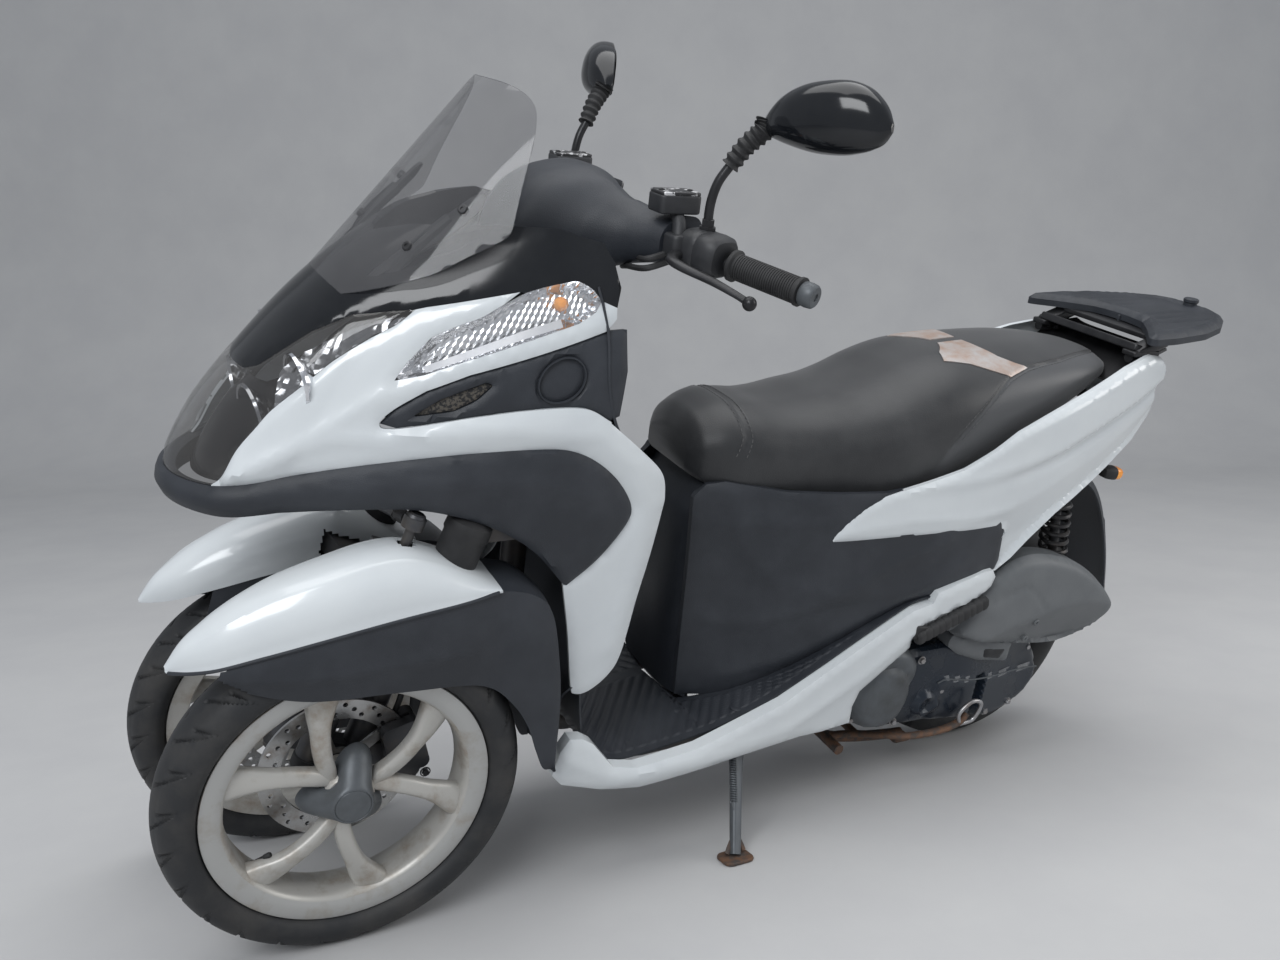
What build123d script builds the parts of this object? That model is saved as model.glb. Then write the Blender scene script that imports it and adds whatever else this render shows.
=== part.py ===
from build123d import *
from math import cos, radians, sin, sqrt
import os

os.makedirs("parts", exist_ok=True)

# A leaning three-wheel scooter, parked on its side stand. Millimetres.
# Every piece is modelled upright: +X forward, +Y to the rider's left, +Z up,
# x = 0 at the front axle and z = 0 on the ground. The last section leans the body and
# each front wheel about the tread of its own tyre, as the real linkage does.

# Driving dimensions of the whole machine
WHEELBASE = 1310.0
TRACK = 385.0
LEAN = 15.0
TREAD_RADIUS = 50.0
CASTER = 20.0
TRAIL = 68.0
FRONT_RADIUS = 250.0
FRONT_WIDTH = 90.0
FRONT_BEAD = 179.0
REAR_RADIUS = 251.0
REAR_WIDTH = 110.0
REAR_BEAD = 153.0
FRONT_AXLE = 7.5
REAR_AXLE = 9.0
RUNNING = 0.3
CLEAR = 0.3
PANEL = 3.0
SEAT_HEIGHT = 780.0
BAR_HALF = 360.0

SIN_C = sin(radians(CASTER))
COS_C = cos(radians(CASTER))
SIDES = {"left": 1, "right": -1}


def on_axis(s, ahead=0.0):
    """The (x, z) point at height s along the steering axis, and a distance ahead of it."""
    return (TRAIL - s * SIN_C + ahead * COS_C, s * COS_C + ahead * SIN_C)


def axis_plane(s, ahead=0.0, across=0.0):
    """A plane square to the steering axis, its local x to the left and local y forward."""
    x, z = on_axis(s, ahead)
    return Plane(origin=(x, across, z), x_dir=(0, -1, 0), z_dir=(-SIN_C, 0, COS_C))


def prism(outline, half_width, middle=0.0, grow=0.0):
    """A closed side-view outline, carried across the machine, grown or shrunk by a wall."""
    with BuildPart() as block:
        with BuildSketch(Plane.XZ.offset(-middle)):
            with BuildLine():
                Polyline(*outline, close=True)
            make_face()
            if grow:
                offset(amount=grow)
        extrude(amount=half_width + grow, both=True)
    return block.part


def band(path, half_width, wall=PANEL, middle=0.0):
    """A sheet that follows an open side-view path, carried across the machine."""
    with BuildPart() as sheet:
        with BuildSketch(Plane.XZ.offset(-middle)):
            with BuildLine():
                Polyline(*path)
            trace(line_width=wall)
        extrude(amount=half_width, both=True)
    return sheet.part


def tube(points, radius, bend):
    """A round bar along straight runs and bends."""
    with BuildPart() as bar:
        with BuildLine():
            route = FilletPolyline(*points, radius=bend)
        with BuildSketch(Plane(origin=route @ 0, z_dir=route % 0)):
            Circle(radius)
        sweep()
    return bar.part


def rod(start, end, radius):
    """A straight round bar between two points."""
    a = Vector(*start)
    b = Vector(*end)
    with BuildPart() as bar:
        with BuildSketch(Plane(origin=a, z_dir=b - a)):
            Circle(radius)
        extrude(amount=(b - a).length)
    return bar.part


def block(x, y, z, radius=0.0):
    """A box between (low, high) pairs, its edges rounded when a radius is given."""
    with BuildPart() as solid:
        with Locations(((x[0] + x[1]) / 2, (y[0] + y[1]) / 2, (z[0] + z[1]) / 2)):
            Box(x[1] - x[0], y[1] - y[0], z[1] - z[0])
        if radius:
            fillet(solid.edges(), radius)
    return solid.part


# Front body: one curved skin in plan view, cut into its real panels.
# Rows: height, nose x, half width.
BACK_X = -420.0
LOWER_SKIN = ((370, 60, 206), (700, 202, 232))
UPPER_SKIN = ((700, 202, 232), (780, 168, 237), (880, 94, 236), (970, 8, 222), (1062, -112, 188))


def skin_section(z, nose, half, inset, tail):
    """A plan-view section: flat back, long side arcs, a round nose."""
    w = half - inset
    tip = nose - inset
    run = tip - BACK_X
    side = (BACK_X + 0.4 * run, 0.917 * w)
    shoulder = (BACK_X + 0.8 * run, 0.6 * w)
    with BuildSketch(Plane.XY.offset(z)) as section:
        with BuildLine():
            Polyline((BACK_X, w), (BACK_X - tail, w), (BACK_X - tail, -w), (BACK_X, -w))
            ThreePointArc((BACK_X, -w), (side[0], -side[1]), (shoulder[0], -shoulder[1]))
            ThreePointArc((shoulder[0], -shoulder[1]), (tip, 0), shoulder)
            ThreePointArc(shoulder, side, (BACK_X, w))
        make_face()
    return section.sketch


def skin_solid(inset, tail, low, high):
    """The front body as one closed solid, inset by a wall."""
    foot = LOWER_SKIN[0]
    top = UPPER_SKIN[-1]
    lower = [skin_section(foot[0] - low, foot[1], foot[2], inset, tail)]
    lower += [skin_section(z, nose, half, inset, tail) for z, nose, half in LOWER_SKIN[1:]]
    upper = [skin_section(z, nose, half, inset, tail) for z, nose, half in UPPER_SKIN[:-1]]
    upper += [skin_section(top[0] + high, top[1], top[2], inset, tail)]
    with BuildPart() as solid:
        loft(sections=lower, ruled=True)
        loft(sections=upper)
    return solid.part


skin_outer = skin_solid(0, 12, 0, 0)
skin_inner = skin_solid(PANEL, 60, 10, -PANEL)
with BuildPart() as skin:
    add(skin_outer)
    add(skin_inner, mode=Mode.SUBTRACT)

# Side-view outlines on that skin
TRIM_TOP = ((260, 724), (137, 735), (108, 738), (5, 763), (-96, 781), (-175, 790), (-253, 793), (-290, 786),
            (-324, 767), (-355, 737), (-376, 701), (-371, 672), (-337, 624), (-295, 585))
TRIM_LOW = ((-289, 590), (-244, 641), (-193, 677), (-135, 703), (-73, 716), (15, 714),
            (91, 706), (138, 690), (260, 690))
INSERT = ((-43, 818), (-58, 840), (-96, 865), (-147, 887), (-226, 913), (-318, 946), (-340, 962),
          (-360, 940), (-350, 880), (-336, 826), (-293, 848), (-227, 846), (-158, 837))
TURN_LAMP = ((-60, 874), (-104, 923), (-139, 945), (-202, 977), (-259, 998), (-300, 1003),
             (-330, 992), (-318, 964), (-278, 955), (-148, 906))
LENS = ((260, 724), (137, 735), (115, 778), (80, 820), (37, 861), (6, 888), (-41, 928),
        (-90, 962), (-24, 946), (40, 903), (80, 874), (100, 862), (260, 862))
BLACK_TOP = ((260, 862), (100, 862), (80, 874), (40, 903), (-24, 946), (-90, 962), (-215, 990),
             (-318, 1018), (-345, 1010), (-345, 1100), (260, 1100))
WHITE_REAR = ((-324, 1030), (-345, 992), (-349, 940), (-331, 822), (-382, 783), (-417, 748),
              (-427, 713), (-426, 687), (-418, 615), (-408, 549), (-396, 456), (-362, 408),
              (-342, 385), (-330, 408), (-314, 507), (-296, 585))
HOOD_SWEEP = 120.0
BAR_SWEEP = 1096.0

trim_region = prism(TRIM_TOP + TRIM_LOW, 300)
insert_region = prism(INSERT, 300)
turn_region = prism(TURN_LAMP, 300)
lens_region = prism(LENS, 300)
top_region = prism(BLACK_TOP, 300)
white_region = prism(((300, 1030),) + WHITE_REAR + ((-289, 592), (-240, 650), (-130, 705), (300, 720)), 300)

with BuildPart() as lower_trim:
    add(skin.part)
    add(trim_region, mode=Mode.INTERSECT)

with BuildPart() as side_inserts:
    add(skin.part)
    add(insert_region, mode=Mode.INTERSECT)

with BuildPart() as turn_lamps:
    add(skin.part)
    add(turn_region, mode=Mode.INTERSECT)

with BuildPart() as nose_lens:
    add(skin.part)
    add(lens_region, mode=Mode.INTERSECT)

# What the handlebar and its hood sweep as they turn
with BuildPart() as steer_room:
    with BuildSketch(axis_plane(1030)):
        Circle(HOOD_SWEEP)
    extrude(amount=200)
    with BuildSketch(axis_plane(BAR_SWEEP)):
        Circle(270)
    extrude(amount=200)

with BuildPart() as upper_cowl:
    add(skin.part)
    add(top_region, mode=Mode.INTERSECT)
    add(steer_room.part, mode=Mode.SUBTRACT)

with BuildPart() as front_cowl:
    add(skin.part)
    add(white_region, mode=Mode.INTERSECT)
    for region in (trim_region, insert_region, turn_region, lens_region, top_region):
        add(region, mode=Mode.SUBTRACT)
    add(steer_room.part, mode=Mode.SUBTRACT)
front_panels = [panel for panel in front_cowl.part.solids() if panel.volume > 20000]

# Inner leg shield: the wall that faces the rider, inside the skin
SHIELD = ((-338, 392), (-392, 458), (-404, 549), (-414, 640), (-421, 720), (-398, 765),
          (-345, 822), (-343, 945))
with BuildPart() as leg_shield:
    add(band(SHIELD, 260))
    add(skin_inner, mode=Mode.INTERSECT)

# Headlamps: a reflector housing behind the smoked lens, two bowls
with BuildPart() as headlamps:
    with BuildSketch(Plane.XZ):
        with BuildLine():
            Polyline((150, 740), (120, 790), (40, 872), (-60, 945), (-110, 930), (-60, 850), (20, 770),
                     (80, 740), close=True)
        make_face()
    extrude(amount=110, both=True)
    add(skin_solid(PANEL + 12, 60, 10, -PANEL), mode=Mode.INTERSECT)
    for side in SIDES.values():
        with Locations(Plane(origin=(110, side * 48, 830), z_dir=(1, 0, 0.85))):
            Sphere(40, mode=Mode.SUBTRACT)

# Windscreen: a bent clear sheet, taller than wide, rounded top
SCREEN_FOOT = (22.0, 949.0)
SCREEN_TOP = (-216.0, 1227.0)
SCREEN_BEND = 215.0
SCREEN_HALF = 178.0
run_x = SCREEN_TOP[0] - SCREEN_FOOT[0]
run_z = SCREEN_TOP[1] - SCREEN_FOOT[1]
SCREEN_LENGTH = sqrt(run_x ** 2 + run_z ** 2)
screen_axis = Plane(
    origin=(SCREEN_FOOT[0], 0, SCREEN_FOOT[1]), x_dir=(0, -1, 0), z_dir=(run_x, 0, run_z)
)
with BuildPart() as windscreen:
    with BuildSketch(screen_axis.offset(-120)):
        with Locations((0, -SCREEN_BEND)):
            Circle(SCREEN_BEND)
            Circle(SCREEN_BEND - PANEL, mode=Mode.SUBTRACT)
        with Locations((0, -SCREEN_BEND - 95)):
            Rectangle(3 * SCREEN_BEND, 2 * SCREEN_BEND, mode=Mode.SUBTRACT)
    extrude(amount=SCREEN_LENGTH + 120)
    with BuildSketch(Plane.YZ.offset(-500)):
        with BuildLine():
            Polyline((-110, 1215), (-140, 1180), (-SCREEN_HALF, 1060), (-150, 996), (-40, 952), (40, 952),
                     (150, 996), (SCREEN_HALF, 1060), (140, 1180), (110, 1215))
            ThreePointArc((110, 1215), (0, 1228), (-110, 1215))
        make_face()
    extrude(amount=800, mode=Mode.INTERSECT)
    add(skin_solid(-CLEAR, 12, 0, CLEAR), mode=Mode.SUBTRACT)

# Body behind: pedestal and rear covers share one skin, cut at the real seams.
# Rows: x, bottom z, top z, half width low, half width high.
REAR_SKIN = (
    (-566, 262, 700, 108, 100),
    (-780, 262, 700, 172, 170),
    (-1060, 380, 820, 196, 188),
    (-1330, 540, 835, 176, 163),
    (-1535, 690, 850, 128, 122),
)


def rear_solid(inset):
    """Pedestal and tail as one loft of rounded cross sections."""
    with BuildPart() as solid:
        for x, z_low, z_high, low, high in REAR_SKIN:
            with BuildSketch(Plane.YZ.offset(x)) as section:
                with BuildLine():
                    Polyline((-low + inset, z_low), (low - inset, z_low), (high - inset, z_high),
                             (-high + inset, z_high), close=True)
                make_face()
        loft(ruled=True)
    return solid.part


COVER_UP = ((-772, 569), (-814, 615), (-871, 646), (-957, 667), (-1024, 683), (-1135, 741),
            (-1328, 805), (-1472, 846), (-1535, 850))
COVER_DOWN = ((-1535, 700), (-1492, 690), (-1400, 641), (-1271, 578), (-1174, 490), (-1141, 471),
              (-1108, 515), (-1142, 552), (-1140, 566), (-1065, 569), (-924, 571))
rear_outer = rear_solid(0)
rear_inner = rear_solid(PANEL) & block((REAR_SKIN[-1][0] + PANEL, REAR_SKIN[0][0] - PANEL), (-300, 300), (200, 900))
with BuildPart() as rear_skin:
    add(rear_outer)
    add(rear_inner, mode=Mode.SUBTRACT)

cover_region = prism(COVER_UP + COVER_DOWN, 300)
PEDESTAL = ((-566, 285), (-566, 634), (-604, 645), (-878, 637), (-957, 644), (-1024, 670),
            (-1100, 700), (-1150, 600), (-1141, 471), (-1016, 447), (-953, 441), (-841, 386),
            (-703, 314), (-640, 285))
with BuildPart() as rear_covers:
    add(rear_skin.part)
    add(cover_region, mode=Mode.INTERSECT)

with BuildPart() as seat_base:
    add(rear_skin.part)
    add(prism(PEDESTAL, 300), mode=Mode.INTERSECT)
    add(cover_region, mode=Mode.SUBTRACT)

# Floor and skirts
FLOOR_TOP = ((-352, 300), (-400, 262), (-440, 254), (-545, 266), (-600, 276))
SKIRT_UP = ((-304, 262), (-325, 316), (-358, 313), (-400, 256), (-439, 251), (-545, 264), (-703, 312),
            (-841, 384), (-953, 439), (-1016, 447), (-1112, 488))
SKIRT_DOWN = ((-1151, 465), (-1128, 430), (-978, 397), (-969, 367), (-869, 297), (-860, 262),
              (-865, 228), (-754, 236), (-631, 230), (-448, 214), (-383, 224), (-319, 240))
SKIRT_HALF = 222.0
SKIRT_PLAN = ((-270, 200), (-330, SKIRT_HALF), (-800, SKIRT_HALF), (-1000, 212), (-1160, 202), (-1160, 196),
              (-1000, 203), (-800, SKIRT_HALF - 14), (-330, SKIRT_HALF - 18), (-270, 188))
with BuildPart() as side_skirts:
    with BuildSketch(Plane.XZ):
        with BuildLine():
            Polyline(*SKIRT_UP, *SKIRT_DOWN, close=True)
        make_face()
    extrude(amount=SKIRT_HALF, both=True)
    with BuildSketch(Plane.XY.offset(150)):
        for side in SIDES.values():
            with BuildLine():
                Polyline(*[(x, side * y) for x, y in SKIRT_PLAN], close=True)
            make_face()
    extrude(amount=400, mode=Mode.INTERSECT)

with BuildPart() as floor_board:
    add(band(FLOOR_TOP, SKIRT_HALF - 18 - CLEAR, 4))
    add(band(((-352, 298), (-345, 388)), 180, 4))

# Seat: pan and cushion
SEAT_SKIN = (
    (-558, 694, 730, 70),
    (-580, 678, 756, 94),
    (-620, 660, 777, 114),
    (-710, 652, SEAT_HEIGHT - 9, 136),
    (-800, 649, SEAT_HEIGHT - 2, 152),
    (-876, 648, 788, 165),
    (-967, 657, 820, 173),
    (-1029, 677, 838, 173),
    (-1125, 714, 847, 166),
    (-1278, 774, 852, 146),
    (-1370, 807, 844, 120),
    (-1430, 817, 832, 82),
)
with BuildPart() as seat:
    for x, z_low, z_high, half in SEAT_SKIN:
        with BuildSketch(Plane.YZ.offset(x)):
            with BuildLine():
                Polyline((-0.8 * half, z_high - 8), (-half, z_low + 0.3 * (z_high - z_low)),
                         (-0.94 * half, z_low), (0.94 * half, z_low),
                         (half, z_low + 0.3 * (z_high - z_low)), (0.8 * half, z_high - 8))
                ThreePointArc((0.8 * half, z_high - 8), (0, z_high), (-0.8 * half, z_high - 8))
            make_face()
    loft(ruled=True)

HINGE = (-590.0, 668.0)
HINGE_PIN = 4.8

# Under-seat bucket: a hollow tub below the seat
BUCKET = ((-690, 638), (-700, 470), (-800, 445), (-960, 475), (-1000, 638))
BUCKET_HALF = 105.0
with BuildPart() as bucket:
    add(prism(BUCKET, BUCKET_HALF))
    add(prism(BUCKET + ((-1000, 660), (-690, 660)), BUCKET_HALF, grow=-PANEL), mode=Mode.SUBTRACT)

# Steering column seat on the frame, clear of the turning stem
STEM = 12.0
COLUMN = (670.0, 1080.0)
HEAD_TUBE = (800.0, 960.0)

# Linkage: two cross arms on a central pillar, and a leaning post each side
ARM_LOW = 632.0
ARM_HIGH = 722.0
ARM_WALL = 22.0
ARM_X = (-304.0, -240.0)
ARM_REACH = 150.0
ARM_PIN = 8.0
LUG = 14.0
HEAD = (592.0, 684.0)
HEAD_WALL = 20.0
KINGPIN = 12.0
PILLAR_X = (ARM_X[0] - 30, ARM_X[1] + 8)
PIN_Y = ARM_REACH - TRACK / 2


def lean_point(x, y, z, wheel=0.0):
    """Where an upright point lies once its body or front wheel has leaned."""
    up = z - TREAD_RADIUS
    sine = sin(radians(LEAN))
    cosine = cos(radians(LEAN))
    across = y - wheel
    return (x, wheel + across * cosine + up * sine, TREAD_RADIUS + up * cosine - across * sine)


with BuildPart() as post:
    with BuildSketch(axis_plane(HEAD[0])):
        Circle(HEAD_WALL)
    extrude(amount=HEAD[1] - HEAD[0])
    add(block((ARM_X[1] + 2, on_axis(HEAD[0] + 60)[0]), (-14, 14), (ARM_LOW - 26, ARM_LOW + 18)))
    add(block((ARM_X[0] - LUG - 2, ARM_X[1] + LUG + 2), (PIN_Y - 20, 2), (ARM_LOW - 26, ARM_HIGH + 26), 4))
    add(block((ARM_X[0] - 2, ARM_X[1] + 2), (PIN_Y - 40, PIN_Y + ARM_WALL + 5), (ARM_LOW - 40, ARM_HIGH + 40)),
        mode=Mode.SUBTRACT)
    for z in (ARM_LOW, ARM_HIGH):
        add(rod((ARM_X[0] - LUG, PIN_Y, z), (ARM_X[1] + LUG, PIN_Y, z), ARM_PIN))
    with BuildSketch(axis_plane(HEAD[0] - 5)):
        Circle(KINGPIN + RUNNING)
    extrude(amount=HEAD[1] - HEAD[0] + 40, mode=Mode.SUBTRACT)

with BuildPart() as arms:
    for z in (ARM_LOW, ARM_HIGH):
        centre = lean_point(ARM_X[0], 0, z)
        left = lean_point(ARM_X[0], ARM_REACH, z, TRACK / 2)
        half = sqrt((left[1] - centre[1]) ** 2 + (left[2] - centre[2]) ** 2)
        arm_plane = Plane(
            origin=centre, x_dir=(0, left[1] - centre[1], left[2] - centre[2]), z_dir=(1, 0, 0)
        )
        with BuildSketch(arm_plane):
            SlotCenterToCenter(2 * half, 2 * ARM_WALL)
            with Locations((-half, 0), (0, 0), (half, 0)):
                Circle(ARM_PIN + CLEAR, mode=Mode.SUBTRACT)
        extrude(amount=ARM_X[1] - ARM_X[0])
        with BuildSketch(arm_plane):
            with Locations((-half / 2, 0), (half / 2, 0)):
                SlotCenterToCenter(half / 2, ARM_WALL)
        extrude(amount=14, mode=Mode.SUBTRACT)

# Frame: a backbone of tubes, the pivot pillar and the head tube
TUBE = 15.0
SPINE = 20.0
BELLY = 205.0
with BuildPart() as frame:
    add(block(PILLAR_X, (-24, 24), (ARM_LOW - 50, ARM_HIGH + 52), 4))
    for z in (ARM_LOW, ARM_HIGH):
        add(block((ARM_X[0] - CLEAR, ARM_X[1] + CLEAR), (-60, 60), (z - ARM_WALL - 16, z + ARM_WALL + 16)),
            mode=Mode.SUBTRACT)
        add(rod((PILLAR_X[0] + 4, 0, z), (PILLAR_X[1] - 4, 0, z), ARM_PIN))
    add(tube(((-306, 0, ARM_LOW - 34), (-298, 0, 300), (-400, 0, BELLY), (-650, 0, BELLY)), SPINE, 60))
    for side in SIDES.values():
        add(tube(((-430, side * 10, BELLY), (-480, side * 118, BELLY), (-690, side * 118, BELLY + 7),
                  (-840, side * 124, 410), (-1100, side * 124, 600), (-1500, side * 92, 760)), TUBE, 45))
    add(rod((-640, -118, BELLY), (-640, 118, BELLY), 13))
    add(rod((-1450, -96, 740), (-1450, 96, 740), 9))
    add(rod((-862, -124, 426), (-862, 124, 426), 11))
    add(block((-684, -644), (120, 135), (186, 240), 3))
    with BuildSketch(axis_plane(HEAD_TUBE[0])):
        Circle(22)
    extrude(amount=HEAD_TUBE[1] - HEAD_TUBE[0])
    with BuildSketch(axis_plane(COLUMN[0] + 28)):
        Circle(22)
    extrude(amount=24)
    add(rod((-286, 0, 766), (-258, 0, 880), 14))
    add(block((PILLAR_X[1] - 4, on_axis(COLUMN[0] + 40)[0]), (-12, 12), (652, 670)))
    with BuildSketch(axis_plane(COLUMN[0] - 20)):
        Circle(STEM + RUNNING)
    extrude(amount=600, mode=Mode.SUBTRACT)

# Fork, one side: kingpin, crown, two legs inboard of the wheel, axle and caliper.
# Modelled for the left wheel with y = 0 at the wheel's middle; inboard is -y.
CROWN = (556.0, 586.0)
CROWN_PLAN = ((-20, -24), (-20, 90), (20, 90), (104, 78), (104, -30), (60, -34))
LEG_Y = -80.0
LEG_SPREAD = 30.0
LEG_AHEAD = FRONT_RADIUS * SIN_C - TRAIL * COS_C
LEG_OUTER = 21.0
LEG_INNER = 16.5
LEG_FOOT = 226.0
LEG_SPLIT = 420.0
TIE_AHEAD = 75.0
TIE_S = 654.0
STUD = 7.0
BALL = 11.0
DISC_Y = -46.0
DISC_RADIUS = 110.0
DISC_WALL = 4.0


def make_fork():
    """The left fork with every piece that turns with it but the wheel."""
    with BuildPart() as fork:
        with BuildSketch(axis_plane(CROWN[0])):
            with BuildLine():
                Polyline(*CROWN_PLAN, close=True)
            make_face()
        extrude(amount=CROWN[1] - CROWN[0])
        with BuildSketch(axis_plane(CROWN[0])):
            Circle(KINGPIN)
        extrude(amount=HEAD[1] + 6 - CROWN[0])
        for spread in (-LEG_SPREAD, LEG_SPREAD):
            with BuildSketch(axis_plane(LEG_SPLIT, LEG_AHEAD + spread, LEG_Y)):
                Circle(LEG_INNER)
            extrude(amount=CROWN[1] - LEG_SPLIT - 4)
            with BuildSketch(axis_plane(LEG_FOOT, LEG_AHEAD + spread, LEG_Y)):
                Circle(LEG_OUTER)
            extrude(amount=LEG_SPLIT - LEG_FOOT)
        with BuildSketch(axis_plane(LEG_FOOT + 6, LEG_AHEAD, LEG_Y)):
            Rectangle(30, 2 * LEG_SPREAD)
        extrude(amount=52)
        with BuildSketch(axis_plane(CROWN[1] - 10, TIE_AHEAD)):
            Circle(STUD)
        extrude(amount=TIE_S - CROWN[1] + 22)
        add(rod((0, LEG_Y - 14, FRONT_RADIUS), (0, 44, FRONT_RADIUS), FRONT_AXLE))
        add(rod((0, LEG_Y + 10, FRONT_RADIUS), (0, DISC_Y - 10, FRONT_RADIUS), 17))
        add(block((-80, -24), (-74, DISC_Y - 8), (236, 270)))
        caliper = Plane(origin=(0, 0, FRONT_RADIUS), x_dir=(-1, 0, 0.25), z_dir=(0, 1, 0))
        with BuildSketch(caliper.offset(DISC_Y - 22)):
            with Locations((96, 0)):
                RectangleRounded(56, 84, 12)
        extrude(amount=44)
        with BuildSketch(caliper.offset(DISC_Y - DISC_WALL / 2 - 2)):
            with Locations((84, 0)):
                Rectangle(64, 120)
        extrude(amount=DISC_WALL + 4, mode=Mode.SUBTRACT)
    return fork.part


fork_shape = make_fork()

# Fender, one side, in the same wheel frame. The white top and the dark skirt share a shell.
FENDER_OUT = 64.0
FENDER_IN = -56.0
FENDER_TOP = ((222, 478), (190, 520), (110, 570), (22, 600), (-30, 614), (-66, 612), (-120, 590), (-190, 556))
FENDER_SEAM = ((-190, 552), (-120, 545), (36, 524), (140, 500), (222, 474))
SKIRT_BACK = ((-190, 553), (-232, 545), (-262, 510), (-284, 430), (-292, 350), (-288, 242), (-268, 262),
              (-246, 330), (-214, 380), (-165, 412), (60, 431), (150, 458), (205, 482), (222, 478))


FENDER_PLAN = ((-310, FENDER_OUT - 10), (-150, FENDER_OUT), (60, FENDER_OUT), (110, FENDER_OUT - 8), (180, 36),
               (224, 8), (224, -8), (180, -34), (110, FENDER_IN + 2), (60, FENDER_IN), (-150, FENDER_IN),
               (-310, FENDER_IN + 4))


def fender_blank(outline, grow):
    """A side-view outline cut to the fender's outline in plan, both shrunk by a wall."""
    with BuildPart() as blank:
        with BuildSketch(Plane.XZ.offset(-100)):
            with BuildLine():
                Polyline(*outline, close=True)
            make_face()
            if grow:
                offset(amount=grow)
        extrude(amount=200)
        with BuildSketch(Plane.XY.offset(100)):
            with BuildLine():
                Polyline(*FENDER_PLAN, close=True)
            make_face()
            if grow:
                offset(amount=grow)
        extrude(amount=600, mode=Mode.INTERSECT)
    return blank.part


fender_outer = fender_blank(FENDER_TOP + SKIRT_BACK[:-1], 0)
fender_inner = fender_blank(FENDER_TOP + SKIRT_BACK[:6] + ((-286, 120), (222, 120)), -PANEL)
with BuildPart() as fender_shell:
    add(fender_outer)
    add(fender_inner, mode=Mode.SUBTRACT)
    with BuildSketch(axis_plane(CROWN[0] - 5)):
        with BuildLine():
            Polyline(*CROWN_PLAN, close=True)
        make_face()
        offset(amount=CLEAR)
    extrude(amount=CROWN[1] - CROWN[0] + 10, mode=Mode.SUBTRACT)
    with BuildSketch(axis_plane(CROWN[0])):
        Circle(HEAD_WALL + 7)
        with Locations((0, TIE_AHEAD)):
            Circle(STUD + 5)
    extrude(amount=200, mode=Mode.SUBTRACT)
white_half = prism(FENDER_TOP + FENDER_SEAM, 200)
with BuildPart() as fender_white:
    add(fender_shell.part)
    add(white_half, mode=Mode.INTERSECT)
with BuildPart() as fender_dark:
    add(fender_shell.part)
    add(white_half, mode=Mode.SUBTRACT)


# Wheels: tyre, cast rim with three pairs of spokes, and disc, about a centre on the Y axis
FRONT_RIM_HALF = 33.0
REAR_RIM_HALF = 38.0
REAR_DISC_Y = -64.0
DISC_SEAT = 24.0


def make_tyre(radius, width, bead, rim_half):
    """A tyre: a crown arc, two sidewall arcs and a flat foot between the rim's lips."""
    edge = radians(24)
    crown = (TREAD_RADIUS * sin(edge), radius - TREAD_RADIUS * (1 - cos(edge)))
    wide = (width / 2, bead + 0.47 * (radius - bead))
    foot = (rim_half - 7.3, bead)
    lip = (rim_half - 5.3, bead + 13)
    low = ((wide[0] + lip[0]) / 2 + 3, (wide[1] + lip[1]) / 2 - 2.5)
    with BuildPart() as tyre:
        with BuildSketch(Plane.YZ):
            with BuildLine():
                ThreePointArc((-crown[0], crown[1]), (0, radius), crown)
                ThreePointArc(crown, (0.87 * wide[0], 0.36 * wide[1] + 0.64 * crown[1]), wide)
                ThreePointArc(wide, low, lip)
                Polyline(lip, foot, (-foot[0], foot[1]), (-lip[0], lip[1]))
                ThreePointArc((-lip[0], lip[1]), (-low[0], low[1]), (-wide[0], wide[1]))
                ThreePointArc((-wide[0], wide[1]), (-0.87 * wide[0], 0.36 * wide[1] + 0.64 * crown[1]),
                              (-crown[0], crown[1]))
            make_face()
        revolve(axis=Axis.Y)
    return tyre.part


def make_rim(bead, half, bore, hub_half, disc_y):
    """A cast rim: flanged barrel, hub, disc seat and six spokes in three splayed pairs."""
    lip = bead + 12
    with BuildPart() as rim:
        with BuildSketch(Plane.YZ):
            with BuildLine():
                Polyline((-half, lip), (-half, bead - 12), (-half + 8, bead - 16), (half - 8, bead - 16),
                         (half, bead - 12), (half, lip), (half - 5, lip), (half - 7, bead), (half - 12, bead - 1),
                         (half - 16, bead - 8), (-half + 16, bead - 8), (-half + 12, bead - 1),
                         (-half + 7, bead), (-half + 5, lip), close=True)
            make_face()
        revolve(axis=Axis.Y)
        with BuildSketch(Plane.XZ):
            for k in range(3):
                for lean in (-22, 22):
                    with BuildLine():
                        turn = radians(90 + 120 * k)
                        tip = turn + radians(lean)
                        root = turn + radians(lean * 0.55)
                        across = (-sin(tip), cos(tip))
                        Polyline((28 * cos(root) - 12 * across[0], 28 * sin(root) - 12 * across[1]),
                                 (28 * cos(root) + 12 * across[0], 28 * sin(root) + 12 * across[1]),
                                 ((bead - 13) * cos(tip) + 17 * across[0], (bead - 13) * sin(tip) + 17 * across[1]),
                                 ((bead - 13) * cos(tip) - 17 * across[0], (bead - 13) * sin(tip) - 17 * across[1]),
                                 close=True)
                    make_face()
        extrude(amount=13, both=True)
        with BuildSketch(Plane.XZ):
            Circle(34)
        extrude(amount=hub_half, both=True)
        with BuildSketch(Plane.XZ):
            Circle(DISC_SEAT)
        extrude(amount=4 - disc_y)
        with BuildSketch(Plane.XZ):
            Circle(bore)
        extrude(amount=hub_half + 60, both=True, mode=Mode.SUBTRACT)
    return rim.part


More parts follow.
